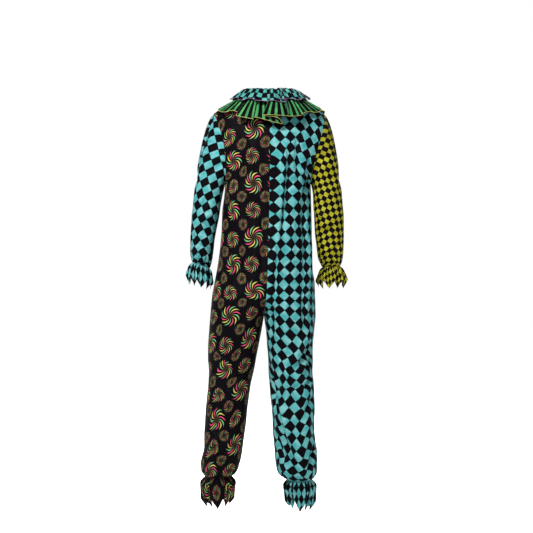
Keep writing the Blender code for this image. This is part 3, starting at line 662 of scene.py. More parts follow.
FINE_STEPS = 22  # around each point of a frill
FINE_FRILL_ROWS = 30
FRILL_UNEVEN = 0.06  # how uneven the points of a hem are
FRILL_TUCK, FRILL_TUCK_REACH = 0.0036, 0.004  # the gathered edge lies inside the elastic's end
FRILL_CRIMP, FRILL_CRIMPS = 0.0020, 3  # small gathers below the elastic, for each point
FRILL_CURL = 0.0030  # the hem curls in and out this much, over several points
FINE_COLLAR_STEPS = 640
FINE_COLLAR_ROWS = 26
COLLAR_CRIMP, COLLAR_CRIMPS = 0.0010, 96
COLLAR_GATHER, COLLAR_GATHERS = 0.0030, 41
COLLAR_FLUTE, COLLAR_SWAY = 0.0055, 0.0040  # how far its waves go in and out, and along the hem
# Pleats that fold over at a tier's hem: where, how wide, and how far they reach along the hem,
# outward and up. tier is 0 for the lower one.
COLLAR_PLEATS = table("""
    tier turn spread along out up
    0 3.185 0.15  66  15 21
    0  3.56 0.08  32  10 11
    0  2.64 0.08 -18   6  4
    0  1.83 0.09  22   7  4
    0  4.42 0.09 -22   7  4
    0  0.62 0.11  30   9  6
    0  5.56 0.12 -34   9  6
    1  3.43 0.08  28 8.5  8
    1  2.93 0.06 -16   6  3
    1  3.15 0.05  11   5  2
    1   1.9 0.09  20   6  3
    1  4.56 0.08 -18   6  3
    1  0.56  0.1  22   6  4
    1  5.42 0.09 -20   6  3
""")

# The print, in metres on the cloth.
DIAMOND = (0.039, 0.044)
DIAMOND_SMALL = (0.0245, 0.0255)
SLEEVE_PRINT_TURN = {LEFT: math.radians(14), RIGHT: math.radians(-13)}
CHECK = 0.0260
STRIPE = 0.0275
# The black runs this far over the edge of a coloured cell.
INK_SPREAD = 0.0007
COLLAR_INK_SPREAD = 0.0015
PRINT_GRAIN = {LEFT: 0.100, RIGHT: 0.090}  # from the middle plane to the print's straight line
PRINT_LEAN = {LEFT: 0.115, RIGHT: 0.020}  # how much further out that line is at the floor


def crease_height(line, share, off):
    """The height of a crease, off being counted in its widths."""
    profile = (1 - CREASE_FLANK * off**2 + line.get("skew", 0.0) * off) * np.exp(-(off**2))
    return line["depth"] * faded(share, CREASE_FADE) * profile


def fold_lines(rows, side, points):
    """Creases along bowed lines, at points seen from behind, and how they shift the print."""
    lift = np.zeros(points.shape[:-1])
    shift = np.zeros((*points.shape[:-1], 2))
    for line in rows_of(rows, side=side):
        share, off, beside = from_line(side, line, points)
        off = (off - line["bow"] * 4 * share * (1 - share)) / line["width"]
        lift += crease_height(line, share, off)
        hidden = TAKEN_IN * abs(line["depth"]) * faded(share, CREASE_FADE) * np.tanh(1.8 * off) / 2
        hidden *= np.exp(-np.abs(off) * line["width"] / TAKEN_REACH)
        shift += hidden[..., None] * beside
    return lift, shift


def twisted(face, side, points):
    """How far twisted cloth moves the print, to the right and up as seen from outside."""
    moved = np.zeros(points.shape[:-1], complex)
    for patch in rows_of(TWISTS, face=face, side=side):
        right = -face * (points[..., 0] - side * patch["x"])
        up = points[..., 2] - patch["height"]
        weight = np.exp(-((right / patch["wide"]) ** 2) - (up / patch["tall"]) ** 2)
        moved += (right + 1j * up) * (np.exp(1j * weight * math.radians(patch["turn"])) - 1)
    return np.stack([moved.real, moved.imag], axis=-1)


def rumple(u, v, seed):
    """Irregular waves of cloth, longer down the body than across it."""
    flat = np.stack([u.ravel() * RUMPLE_ACROSS, v.ravel() * RUMPLE_ALONG], axis=-1)
    waves = [
        noise.noise(Vector((a, b, seed))) + 0.5 * noise.noise(Vector((2.1 * a, 2.3 * b, seed + 7)))
        for a, b in flat
    ]
    return np.array(waves).reshape(u.shape) * RUMPLE


def pleats(turn, count, seed):
    """Uneven gathers round an elastic: from -1 to 1."""
    return np.sin(count * turn + 1.3 * np.sin(3 * turn + seed) + 0.8 * np.sin(5 * turn + 2 * seed))


def blouse(above, turn, count, seed):
    """The gathers of the cloth that hangs over an elastic, by its height above it."""
    near = ease(1 - above / BLOUSE_ZONE)
    near *= BLOUSE_LEAST + (1 - BLOUSE_LEAST) * ease(above / BLOUSE_START)
    return BLOUSE_PLEAT * near * (pleats(turn, count, seed) - 1)


def stations_of(rows_in_zone):
    zones = [zone + np.arange(rows) / rows for zone, rows in enumerate(rows_in_zone)]
    return np.append(np.concatenate(zones), ANKLE)


def arc(points, axis):
    """Distance along the rows or the columns of a grid of points."""
    steps = np.linalg.norm(np.diff(points, axis=axis), axis=-1)
    start = np.zeros_like(np.take(steps, [0], axis=axis))
    return np.concatenate([start, np.cumsum(steps, axis=axis)], axis=axis)


def print_grain(side, heights):
    """Distance from the middle plane to the print's straight line, which follows the leg."""
    low = np.clip((CROTCH_HEIGHT - heights) / CROTCH_HEIGHT, 0, 1)
    return PRINT_GRAIN[side] + PRINT_LEAN[side] * low


def fine_panel(side, face):
    """Outer points of a body panel with all its folds, its directions and its print coordinates."""
    stations = stations_of(FINE_ROWS)
    even = np.linspace(0, 1, FINE_COLUMNS + 1)
    ts = even - EDGE_CROWDING * np.sin(2 * math.pi * even) / (2 * math.pi)
    points = body_grid(side, face, stations, ts)
    normals = body_normals(side, face, stations, ts)
    other_face = body_normals(side, -face, stations, ts)
    on_side_seam = (stations <= SHOULDER) | (stations >= UNDERARM)
    for edge, sewn in ((0, stations >= CROTCH), (-1, on_side_seam)):
        normals[sewn, edge] += other_face[sewn, edge]
    normals[stations < CROTCH, 0, 0] = 0.0
    normals = unit(normals)
    across = arc(points, 1)
    heights = points[..., 2].copy()
    to_edge = np.minimum(across, across[:, -1:] - across)
    grain = print_grain(side, heights.mean(axis=1))
    grain_at = [np.interp(g, side * row, ts) for g, row in zip(grain, points[..., 0])]

    crease, shift = fold_lines(CREASES[face], side, points)
    moved = twisted(face, side, points)
    lift = fold_height(side, points) * FOLD_STRENGTH[face]
    lift += crease + rumple(across, heights, 3.0 * side + 1.7 * face)
    calm = ease(to_edge / CREASE_CALM)
    lift = lift * calm - SEAM_DIP * np.exp(-((to_edge / SEAM_REACH) ** 2))
    turn = face * math.pi * (1 - ts)
    lift += blouse(heights - ANKLE_HEIGHT[side], turn, BLOUSE_PLEATS, side)
    points += normals * lift[..., None]

    # The print lies on the cloth, so its coordinates are distances along the folded surface.
    across, down = arc(points, 1), arc(points, 0)
    middle = np.array([np.interp(t, ts, row) for t, row in zip(grain_at, across)])
    u = -side * face * (across - middle[:, None])
    hip = sum(FINE_ROWS[: UNDERARM + 1])
    v = points[hip, :, 2] - (down - down[hip])
    uv = np.stack([u - face * shift[..., 0] * calm, v + shift[..., 1] * calm], axis=-1) + moved

    # Sewn edges meet.
    points[:, -1] += unit(points[:, -1] - points[:, -2]) * SEWN
    points[:, 0] += unit(points[:, 0] - points[:, 1]) * SEWN * (stations >= CROTCH)[:, None]
    points[stations <= CROTCH, 0, 0] -= side * SEWN
    return points, normals, uv


def add(name, data, *materials):
    """A new object in the scene."""
    for material in materials:
        data.materials.append(material)
    obj = bpy.data.objects.new(name, data)
    bpy.context.scene.collection.objects.link(obj)
    return obj


def shell(node, points, uv, materials, around=False, inside=None):
    """A thin cloth shell in place of a node, with its print coordinates and its reverse side."""
    if inside is None:
        inside = points.mean(axis=1, keepdims=True)
    rows, columns = points.shape[:2]
    index = np.arange(rows * columns).reshape(rows, columns)
    right = np.roll(index, -1, axis=1)
    quads = np.stack([index[:-1], right[:-1], right[1:], index[1:]], axis=-1)
    corner_uv = np.stack([uv[:-1, :-1], uv[:-1, 1:], uv[1:, 1:], uv[1:, :-1]], axis=2)
    if not around:
        quads = quads[:, :-1]
    quads, corner_uv = quads.reshape(-1, 4), corner_uv.reshape(-1, 4, 2)
    if ((points - inside) * grid_normals(points, around)).sum() < 0:
        quads, corner_uv = quads[:, ::-1], corner_uv[:, ::-1]
    mesh = bpy.data.meshes.new(f"{node}_cloth")
    mesh.from_pydata((points.reshape(-1, 3) - FLOOR_TO_ORIGIN).tolist(), [], quads.tolist())
    mesh.uv_layers.new(name="print").data.foreach_set("uv", corner_uv.ravel())
    mesh.shade_smooth()
    obj = add(mesh.name, mesh, *materials)
    solidify = obj.modifiers.new("thickness", "SOLIDIFY")
    solidify.thickness = SHELL
    solidify.offset = -1
    solidify.material_offset = len(materials) - 1
    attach(obj, "suit")
    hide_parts(node)
    return obj


def armhole(side, panels):
    """The armhole's edge from the underarm up the back and down the front, and how a sleeve leaves it."""
    top, low = FINE_ROWS[0], FINE_ROWS[0] + FINE_ROWS[1]
    edge, normals, beside = [], [], []
    for face, order in ((BACK, slice(low, top, -1)), (FRONT, slice(top, low))):
        points, out, _ = panels[side, face]
        edge.append(points[order, -1])
        normals.append(out[order, -1])
        beside.append(points[order, -2])
    edge, normals, beside = (np.concatenate(part) for part in (edge, normals, beside))
    tangent = np.roll(edge, -1, axis=0) - np.roll(edge, 1, axis=0)
    leaving = unit(np.cross(tangent, normals))
    return edge, leaving * np.sign(((edge - beside) * leaving).sum())


def fine_sleeve(side, panels):
    """Outer points of a sleeve with its folds, and its print coordinates."""
    edge, leaving = armhole(side, panels)
    count = len(edge)
    turn = np.arange(count) / count * 2 * math.pi
    first = sleeve_section(side, SLEEVE_TOP, turn)
    below = sleeve_section(side, SLEEVE_TOP - SMALL_DROP, turn)
    shoulder = (1 - np.cos(turn))[:, None] / 2
    leave = leaving * (HEAD_REACH_UNDERARM + (HEAD_REACH_SHOULDER - HEAD_REACH_UNDERARM) * shoulder)
    start = edge - leaving * SEWN
    arrive = unit(below - first) * np.linalg.norm(first - start, axis=-1)[:, None]
    rows = [hermite(u, start, first, leave, arrive) for u in np.arange(FINE_HEAD) / FINE_HEAD]
    elastic = SLEEVE[side]["height"][0]
    for share in 1 - (1 - np.arange(FINE_SLEEVE + 1) / FINE_SLEEVE) ** CROWDING:
        rows.append(sleeve_section(side, SLEEVE_TOP + (elastic - SLEEVE_TOP) * share, turn))
    points = np.array(rows)
    out = grid_normals(points, around=True)
    middle = points.mean(axis=1, keepdims=True)
    out = out * np.sign(((points - middle) * out).sum())

    height = points[..., 2]
    share_round = turn / (2 * math.pi)
    round_x, round_y = np.cos(turn) * SLEEVE_RUMPLE, np.sin(turn) * SLEEVE_RUMPLE
    lift = rumple(round_x + 0 * height, height + round_y, 11.0 + side)
    for line in rows_of(SLEEVE_CREASES, side=side):
        share = (line["top"] - height) / (line["top"] - line["end"])
        at = line["turn_top"] + (line["turn_end"] - line["turn_top"]) * share
        lift += crease_height(line, share, ((share_round - at + 0.5) % 1.0 - 0.5) / line["spread"])
    lift += blouse(height - elastic, turn, CUFF_PLEATS, 2 * side)
    down = np.arange(len(points))[:, None] / FINE_HEAD
    points = points + out * (lift * ease(down / HEAD_CALM))[..., None]

    # Above the first full section the print runs straight up the columns, as on a flat cut.
    closed = np.concatenate([points, points[:, :1]], axis=1)
    around, down = arc(closed, 1), arc(closed, 0)
    u = around - around[:, count // 2, None]
    u[:FINE_HEAD] = u[FINE_HEAD]
    return points, np.stack([side * u, down[FINE_HEAD] - down], axis=-1)


def neckline(panels):
    """The neckline from the centre front round by the left side, the back and the right side."""
    order = ((LEFT, FRONT, 1), (LEFT, BACK, -1), (RIGHT, BACK, 1), (RIGHT, FRONT, -1))
    return np.concatenate([panels[side, face][0][0][::step] for side, face, step in order])


def edging(name, points, material):
    """A narrow sewn edge along a hem."""
    curve = bpy.data.curves.new(name, "CURVE")
    curve.dimensions = "3D"
    curve.bevel_depth = EDGING_RADIUS
    curve.bevel_resolution = 2
    curve.use_fill_caps = True
    spline = curve.splines.new("POLY")
    spline.points.add(len(points) - 1)
    flat = np.concatenate([points - FLOOR_TO_ORIGIN, np.ones((len(points), 1))], axis=1)
    spline.points.foreach_set("co", flat.ravel())
    obj = add(name, curve, material)
    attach(obj, "suit")
    return obj


BLACK = (0.0010, 0.0007, 0.0012)
TEAL, TEAL_PALE = (0.021, 0.118, 0.122), (0.078, 0.178, 0.180)
# The check's teals are darker than the body's: partly their own dye, partly painted shade that the
# collar's upper tier lies in.
CHECK_TEAL_AND_SHADE, CHECK_PALE_AND_SHADE = (0.013, 0.098, 0.090), (0.055, 0.160, 0.142)
YELLOW, YELLOW_PALE = (0.107, 0.099, 0.004), (0.165, 0.160, 0.015)
GREEN, GREEN_PALE = (0.011, 0.075, 0.022), (0.034, 0.130, 0.044)
PINK, PRINT_YELLOW, PRINT_GREEN = (0.215, 0.022, 0.055), (0.190, 0.165, 0.036), (0.060, 0.150, 0.062)
BURST_HEART = (0.040, 0.028, 0.014)
# Near-black that the reverse's print is mixed towards: partly the reverse's duller dye, partly painted
# shade for the undersides of tiers and frills.
REVERSE_DULL_AND_SHADE = (0.008, 0.009, 0.010)
SURROUND_LIGHT = 0.55

PRINT_DRIFT = 0.009  # how far the print's lines wander
BLADE_BEND = 0.17
KIND_TURN = 61.0  # how much further a burst is turned, by its kind
# A blade's width and strength fall with the burst's kind: the slope and the value at 0.
BLADE_WIDTH, BLADE_STRENGTH = (-0.42, 0.212), (-2.4, 1.15)
CAMERA_PLACE, CAMERA_LENS = (0.0133, 4.5, -0.612), 80.0
FLOOR_REACH = 9.0  # from the middle of the floor to its sides

# The bursts of the print in one repeat. The kind sets the number of blades:
# 12 for 0, 15 for 0.25 and 18 for 0.5, and a little more than those turns the burst.
REPEAT = (0.180, 0.202)
BURST_TALL = 1.1  # height of a burst for its width
BURSTS = table("""
    x y radius kind
       44   48 40.5  0.01
      135  151   39 0.027
      128   41 31.5  0.08
       39  148 30.5 0.096
     87.5 98.5 22.5  0.16
      177   97   22 0.174
       87  198 22.5 0.182
    177.5    0 21.5 0.191
""")


class Graph:
    """Builds the nodes of one material, each from plain numbers or other nodes' outputs."""

    def __init__(self, name):
        self.material = bpy.data.materials.new(name)
        self.material.use_nodes = True
        self.tree = self.material.node_tree

    def feed(self, inputs, values):
        """Sets or links each of the inputs that the values name or number."""
        for name, value in values.items():
            if isinstance(value, bpy.types.NodeSocket):
                self.tree.links.new(value, inputs[name])
            elif isinstance(value, tuple) and inputs[name].type == "RGBA":
                inputs[name].default_value = (*value, 1.0)
            else:
                inputs[name].default_value = value

    def surface(self, values):
        self.feed(self.tree.nodes["Principled BSDF"].inputs, values)

    def node(self, kind, values, output=0, **settings):
        made = self.tree.nodes.new(f"ShaderNode{kind}")
        for name, value in settings.items():
            setattr(made, name, value)
        self.feed(made.inputs, values)
        return made.outputs[output]

    def math(self, operation, *values):
        return self.node("Math", dict(enumerate(values)), operation=operation)

    def vector(self, operation, *values):
        output = "Value" if operation in ("LENGTH", "DOT_PRODUCT") else "Vector"
        return self.node("VectorMath", dict(enumerate(values)), output, operation=operation)

    def mix(self, factor, low, high):
        return self.node("Mix", {0: factor, 6: low, 7: high}, 2, data_type="RGBA")

    def ramp(self, value, low, high, start=0.0, end=1.0):
        values = {0: value, 1: low, 2: high, 3: start, 4: end}
        return self.node("MapRange", values, interpolation_type="SMOOTHSTEP")

    def noise(self, coords, scale, detail, output=0):
        return self.node("TexNoise", {"Vector": coords, "Scale": scale, "Detail": detail}, output)

    def bump(self, height, strength, distance, **below):
        return self.node("Bump", {"Height": height, "Strength": strength, "Distance": distance, **below})


def parity(graph, coords, ink, *ways):
    """0 and 1 in turn over the cells that the ways count, with 1 a little larger."""
    total, shown = 0.0, 0.0
    for way in ways:
        at = graph.vector("DOT_PRODUCT", coords, (*way, 0.0))
        count = graph.math("ROUND", at)
        edge = graph.math("ABSOLUTE", graph.math("SUBTRACT", at, count))
        spread = 0.5 - ink * math.hypot(*way)
        shown = graph.math("MAXIMUM", shown, graph.math("GREATER_THAN", edge, spread))
        total = graph.math("ADD", total, count)
    return graph.math("MAXIMUM", shown, graph.math("PINGPONG", total, 1.0))


def tinted(graph, coords, colour, pale):
    """A colour that wanders a little towards a paler one, as a dyed print does."""
    return graph.mix(graph.ramp(graph.noise(coords, 34.0, 3.0), 0.35, 0.75), colour, pale)


def diamonds(size, angle, colour, pale):
    width, height = size
    ways = [complex(1 / width, up / height) * cmath.rect(1, angle) for up in (1, -1)]

    def draw(graph, coords):
        shown = parity(graph, coords, INK_SPREAD, *((way.real, way.imag) for way in ways))
        return graph.mix(shown, tinted(graph, coords, colour, pale), BLACK)

    return draw


def checks(graph, coords):
    shown = parity(graph, coords, COLLAR_INK_SPREAD, (1 / CHECK, 0.0), (0.0, 1 / CHECK))
    # Darker teals: partly the check's own dye, partly painted shade on the upper tier.
    return graph.mix(shown, tinted(graph, coords, CHECK_TEAL_AND_SHADE, CHECK_PALE_AND_SHADE), BLACK)


def stripes(graph, coords):
    shown = parity(graph, coords, COLLAR_INK_SPREAD, (2 / STRIPE, 0.0))
    return graph.mix(shown, tinted(graph, coords, GREEN, GREEN_PALE), BLACK)


def bursts(graph, coords):
    """Curved, tapering blades that turn round the middle of each burst."""
    width, height = REPEAT
    local = (0.0, 0.0, 0.0)
    for burst in rows_of(BURSTS):
        start = (0.5 - burst["x"] / width, 0.5 - burst["y"] / height, 0.0)
        at = graph.vector("MULTIPLY_ADD", coords, (1 / width, 1 / height, 0.0), start)
        grown = (width / burst["radius"], height / (BURST_TALL * burst["radius"]), 0.0)
        middle = (-grown[0] / 2, -grown[1] / 2, burst["kind"])
        at = graph.vector("MULTIPLY_ADD", graph.vector("FRACTION", at), grown, middle)
        inside = graph.math("LESS_THAN", graph.vector("LENGTH", at), 1.0)
        local = graph.vector("MULTIPLY_ADD", at, inside, local)
    parts = graph.tree.nodes.new("ShaderNodeSeparateXYZ")
    graph.feed(parts.inputs, {0: local})
    across, up, kind = parts.outputs
    away = graph.vector("LENGTH", graph.vector("MULTIPLY", local, (1.0, 1.0, 0.0)))
    turn = graph.math("MULTIPLY", graph.math("ARCTAN2", up, across), 1 / (2 * math.pi))
    blades = graph.math("ROUND", graph.math("MULTIPLY_ADD", kind, 12.0, 12.0))
    bend = graph.math("MULTIPLY", graph.math("POWER", away, 1.8), BLADE_BEND)
    count = graph.math("MULTIPLY", graph.math("ADD", turn, bend), blades)
    count = graph.math("MULTIPLY_ADD", kind, KIND_TURN, count)
    side = graph.math("ABSOLUTE", graph.math("SUBTRACT", graph.math("FRACT", count), 0.5))
    # A blade is a thread near the middle, widest at two thirds of the way out, and ends in a point.
    swell = graph.ramp(away, 0.26, 0.68, 0.48, 1.0)
    point = graph.ramp(away, 0.70, 1.0, 0.0, 1.05)
    widest = graph.math("MULTIPLY_ADD", kind, *BLADE_WIDTH)
    half = graph.math("MULTIPLY", graph.math("SUBTRACT", swell, point), widest)
    shown = graph.math("LESS_THAN", side, half)
    shown = graph.math("MULTIPLY", shown, graph.math("GREATER_THAN", away, 0.02))
    which = graph.math("FLOORED_MODULO", graph.math("FLOOR", count), 3.0)
    blade = graph.mix(graph.math("GREATER_THAN", which, 0.5), PINK, PRINT_YELLOW)
    blade = graph.mix(graph.math("GREATER_THAN", which, 1.5), blade, PRINT_GREEN)
    strong = graph.math("MULTIPLY_ADD", kind, *BLADE_STRENGTH)
    strong = graph.math("MULTIPLY", graph.ramp(away, 0.14, 0.44), strong)
    return graph.mix(shown, BLACK, graph.mix(strong, BURST_HEART, blade))


def fabric(name, draw, reverse=False):
    """Smooth, slightly shiny polyester knit with a print; the reverse is duller and greyer, and darkened
    as painted shade of the undersides that show.
    """
    graph = Graph(name + ("_reverse_and_painted_shade" if reverse else ""))
    coords = graph.node("UVMap", {}, uv_map="print")
    drift = graph.noise(coords, 9.0, 1.0, "Color")
    half = (-PRINT_DRIFT / 2, -PRINT_DRIFT / 2, 0.0)
    drift = graph.vector("MULTIPLY_ADD", drift, (PRINT_DRIFT, PRINT_DRIFT, 0.0), half)
    printed = draw(graph, graph.vector("ADD", coords, drift))
    # Small wrinkles, and the knit's stitches: about one in a millimetre.
    wrinkle = graph.noise(graph.vector("MULTIPLY", coords, (1.0, 0.55, 1.0)), 75.0, 3.0)
    stitches = {"Vector": graph.vector("MULTIPLY", coords, (1.0, 0.7, 1.0)), "Scale": 900.0}
    knit = graph.node("TexVoronoi", stitches, "Distance")
    folds = graph.bump(wrinkle, 0.30, 0.0022)
    graph.surface({
        # The reverse is darkened: partly its duller dye, partly painted shade of the undersides.
        "Base Color": graph.mix(0.55, printed, REVERSE_DULL_AND_SHADE) if reverse else printed,
        "Roughness": 0.80 if reverse else 0.60,
        "Specular IOR Level": 0.008 if reverse else 0.014,
        "Sheen Weight": 0.006,
        "Sheen Roughness": 0.45,
        "Sheen Tint": (0.80, 0.90, 0.95),
        "Normal": graph.bump(knit, 0.35, 0.0003, Normal=folds),
    })
    return graph.material


def plain(name, colour, roughness, metallic=0.0, grain=0.0):
    graph = Graph(name)
    cloud = graph.noise(graph.node("TexCoord", {}, "Object"), 1400.0, 2.0)
    darker = tuple(0.75 * channel for channel in colour)
    graph.surface({
        "Base Color": graph.mix(cloud, darker, colour),
        "Roughness": roughness,
        "Metallic": metallic,
        "Normal": graph.bump(cloud, grain, 0.0002),
    })
    return graph.material


def soft_light(name, place, aim, size, power):
    """A round lamp that points at a height on the suit's upright axis."""
    light = bpy.data.lights.new(name, "AREA")
    light.shape = "DISK"
    light.size = size
    light.energy = power
    obj = add(name, light)
    obj.location = place
    obj.rotation_euler = (Vector((0, 0, aim)) - Vector(place)).to_track_quat("-Z", "Y").to_euler()


def studio():
    """A pale floor below the suit, a near-white surround, and soft lights on both sides."""
    mesh = bpy.data.meshes.new("floor")
    ways = ((-1, -1), (1, -1), (1, 1), (-1, 1))
    corners = [(FLOOR_REACH * x, FLOOR_REACH * y, -HELD_HEIGHT) for x, y in ways]
    mesh.from_pydata(corners, [], [(0, 1, 2, 3)])
    graph = Graph("floor")
    white = (1.0, 1.0, 1.0)
    pale = {"Base Color": (0.96, 0.96, 0.96), "Roughness": 0.9}
    graph.surface({**pale, "Emission Color": white, "Emission Strength": 0.5})
    add("floor", mesh, graph.material)

    world = bpy.data.worlds.new("studio")
    world.use_nodes = True
    nodes, links = world.node_tree.nodes, world.node_tree.links
    nodes["Background"].inputs["Color"].default_value = (*white, 1.0)
    # The surround looks white and lights the cloth a little less, so that its folds show.
    strength = nodes.new("ShaderNodeMath")
    strength.operation = "MULTIPLY_ADD"
    links.new(nodes.new("ShaderNodeLightPath").outputs["Is Camera Ray"], strength.inputs[0])
    strength.inputs[1].default_value = 1.0 - SURROUND_LIGHT
    strength.inputs[2].default_value = SURROUND_LIGHT
    links.new(strength.outputs[0], nodes["Background"].inputs["Strength"])
    bpy.context.scene.world = world

    soft_light("back_key", (1.0, 2.1, 1.3), -0.50, 0.6, 262.0)
    soft_light("back_fill", (-2.6, 2.2, 0.2), -0.65, 1.2, 40.0)
    soft_light("front_key", (-0.4, -2.8, 1.6), -0.65, 1.6, 165.0)
    soft_light("front_fill", (0.9, -3.0, 0.2), -0.65, 1.6, 45.0)

    camera = add("camera", bpy.data.cameras.new("camera"))
    camera.location = CAMERA_PLACE
    camera.rotation_euler = (math.pi / 2, 0.0, math.pi)
    camera.data.lens = CAMERA_LENS
    camera.data.sensor_width = 36.0
    camera.data.dof.use_dof = False
    bpy.context.scene.camera = camera
    bpy.context.scene.view_settings.view_transform = "Standard"


DRAWINGS = {
    "pinwheel_print": bursts,
    "teal_diamond": diamonds(DIAMOND, 0.0, TEAL, TEAL_PALE),
    "teal_diamond_sleeve": diamonds(DIAMOND, SLEEVE_PRINT_TURN[LEFT], TEAL, TEAL_PALE),
    "yellow_diamond": diamonds(DIAMOND_SMALL, SLEEVE_PRINT_TURN[RIGHT], YELLOW, YELLOW_PALE),
    "teal_check": checks,
    "green_stripe": stripes,
}
FABRICS = {
    name: (fabric(name, draw), fabric(name, draw, reverse=True)) for name, draw in DRAWINGS.items()
}


def body():
    """The four panels. Returns their points and directions."""
    panels = {(side, face): fine_panel(side, face) for side in SIDES for face in FACES}
    for (side, face), (points, _, uv) in panels.items():
        node = f"{FACES[face]}_{SIDES[side]}"
        slot = BODY_FABRIC[side]
        inside = points.mean(axis=1, keepdims=True) * [1.0, 0.0, 1.0]
        obj = shell(node, points, uv, FABRICS[slot], inside=inside)
    return panels


def sleeves(panels):
    for side, name in SIDES.items():
        slot = SLEEVE_FABRIC[side]
        look = FABRICS["teal_diamond_sleeve" if side == LEFT else slot]
        points, uv = fine_sleeve(side, panels)
        obj = shell(f"sleeve_{name}", points, uv, look, around=True)


def fine_frill(kind, side, elastic):
    """Outer points of a frill with its flutes and pointed hem, and its print coordinates."""
    centre, outward, down, half_width, depth = elastic
    frill = FRILLS[kind]
    count, deeper = frill["points"], frill["deeper"]
    steps = count * FINE_STEPS
    turn = np.arange(steps) / steps * 2 * math.pi
    hem = 1 - np.abs(2 * ((turn * count / (2 * math.pi)) % 1) - 1)
    length = frill["notch"] + (frill["tip"] - frill["notch"]) * hem
    length *= 1 + FRILL_UNEVEN * np.sin(3 * turn + 1.0) * np.cos(2 * turn)
    uneven = 1 + 0.35 * np.sin(2 * turn + 0.6) + 0.25 * np.sin(5 * turn + 2.0)
    wave = deeper * FRILL_WAVE * (np.cos(turn * count) - 0.3) * uneven
    crimp = deeper * FRILL_CRIMP * pleats(turn, count * FRILL_CRIMPS, 1.0)
    curl = FRILL_CURL * np.sin(4 * turn + 1.0) * uneven
    out, back, front = frill["flare"]
    rows, v = [], []
    for share in np.append(0.0, np.arange(FINE_FRILL_ROWS + 1) / FINE_FRILL_ROWS):
        opened = smooth(FRILL_OPENING["share"], FRILL_OPENING[kind], share)
        small = crimp * (1.0 if share < 0.35 else 1.35 - share) + curl * share**2
        tuck = FRILL_TUCK * np.exp(-length * share / FRILL_TUCK_REACH)
        added = wave * share + small * min(1.0, 6 * share) - tuck
        across = half_width + (out - frill["ease"][side] * share) * opened + added
        deep = depth + np.where(np.sin(turn) > 0, back, front) * opened + added
        start = SEAM if rows else -FRILL_TUCK_REACH / 2
        rows.append(
            centre
            + outward * (across * power(np.cos(turn)))[:, None]
            + np.array([0.0, 1.0, 0.0]) * (deep * power(np.sin(turn)))[:, None]
            + down * (start + length * share)[:, None]
        )
        v.append(np.append(-length * share, -length[0] * share))
    points = np.array(rows)
    hem = arc(np.concatenate([points, points[:, :1]], axis=1), 1)[-2]
    return points, np.stack([np.broadcast_to(hem, (len(rows), len(hem))), np.array(v)], axis=-1)


def frills():
    for side, name in SIDES.items():
        for kind, rows, upper, slot in (
            ("cuff", SLEEVE, f"sleeve_{name}_cloth", SLEEVE_FABRIC[side]),
            ("ankle", LEG, f"back_{name}_cloth", BODY_FABRIC[side]),
        ):
            points, uv = fine_frill(kind, side, elastic_of(rows[side], side))
            obj = shell(f"{kind}_frill_{name}", points, uv, FABRICS[slot], around=True)


def fine_tier(tier, edge):
    """Outer points of a collar tier with its waves and gathers, and its print coordinates."""
    profile, waves, wave = tier["profile"], tier["waves"], tier["wave"]
    at = arc(edge[:, None], 0)[:, 0]
    gap = FRONT_GAP / at[-1]
    shares = np.linspace(gap, 1 - gap, FINE_COLLAR_STEPS + 1)
    base = np.stack([np.interp(shares * at[-1], at, column) for column in edge.T], axis=-1)
    turn = shares * 2 * math.pi
    at_side = np.sin(turn) ** 2
    behind = np.cos(turn) < 0
    weights = {
        "side": at_side,
        "back": np.where(behind, 1 - at_side, 0.0),
        "front": np.where(behind, 0.0, 1 - at_side),
    }
    away = np.stack([np.sin(turn), -np.cos(turn), 0 * turn], axis=-1)
    base += unit(np.cross(away, np.gradient(base, axis=0))) * tier["lift"]
    height = wave["ends"] + (wave["side"] - wave["ends"]) * at_side
    uneven = 1 + 0.30 * np.sin(3 * turn + 0.7) + 0.20 * np.sin(5 * turn + 2.1)
    ripple = height * (0.5 - 0.5 * np.cos(turn * waves)) * uneven
    flute = COLLAR_FLUTE * np.cos(turn * waves) * uneven
    sway = COLLAR_SWAY * np.sin(2 * turn * waves) * uneven
    crimp = COLLAR_CRIMP * pleats(turn, COLLAR_CRIMPS, 0.4)
    small = COLLAR_GATHER * pleats(turn, COLLAR_GATHERS, 1.9)
    calm = ease((0.5 - np.abs(shares - 0.5)) / FRONT_CALM)
    along = unit(np.gradient(base, axis=0))
    over, out_over, up_over = np.zeros((3, len(turn)))
    for pleat in rows_of(COLLAR_PLEATS, tier=tier["number"]):
        off = (turn - pleat["turn"]) / pleat["spread"]
        over -= 2 * pleat["along"] * off * np.exp(-(off**2))
        front = off * np.sign(pleat["along"])
        out_over += pleat["out"] * np.tanh(1.5 * front) * np.exp(-((off / 2.2) ** 2))
        raised = (1 + np.tanh(3 * front + 1)) * np.exp(-((front / 1.9) ** 2)) / 2
        up_over += pleat["up"] * (raised - 0.3 * np.exp(-(((front + 1.1) / 0.6) ** 2)))
    made = []
    for share in np.arange(FINE_COLLAR_ROWS + 1) / FINE_COLLAR_ROWS:
        out, up = (
            sum(w * smooth(profile["share"], profile[f"{p}_{way}"], share) for p, w in weights.items())
            for way in ("out", "up")
        )
        begun = min(1.0, 5 * share)
        folded = flute * share**1.4 + small * begun * (1 - 0.4 * share) + out_over * share
        slid = sway * share + over * share**1.3
        row = base + away * (out + folded * calm)[:, None] + along * (slid * calm)[:, None]
        row[:, 2] += up + (ripple + up_over) * share**1.5 + crimp * begun * (1 - 0.8 * share)
        row[:, 2] -= tier["sag"] * math.sin(math.pi * share)
        made.append(row)
    points = np.array(made)
    # The print's lines run from the neckline to the hem, evenly spaced along the hem.
    hem = arc(points, 1)[-1]
    u = np.broadcast_to(hem - hem[-1] / 2, points.shape[:2])
    return points, np.stack([u, arc(points, 0)], axis=-1)


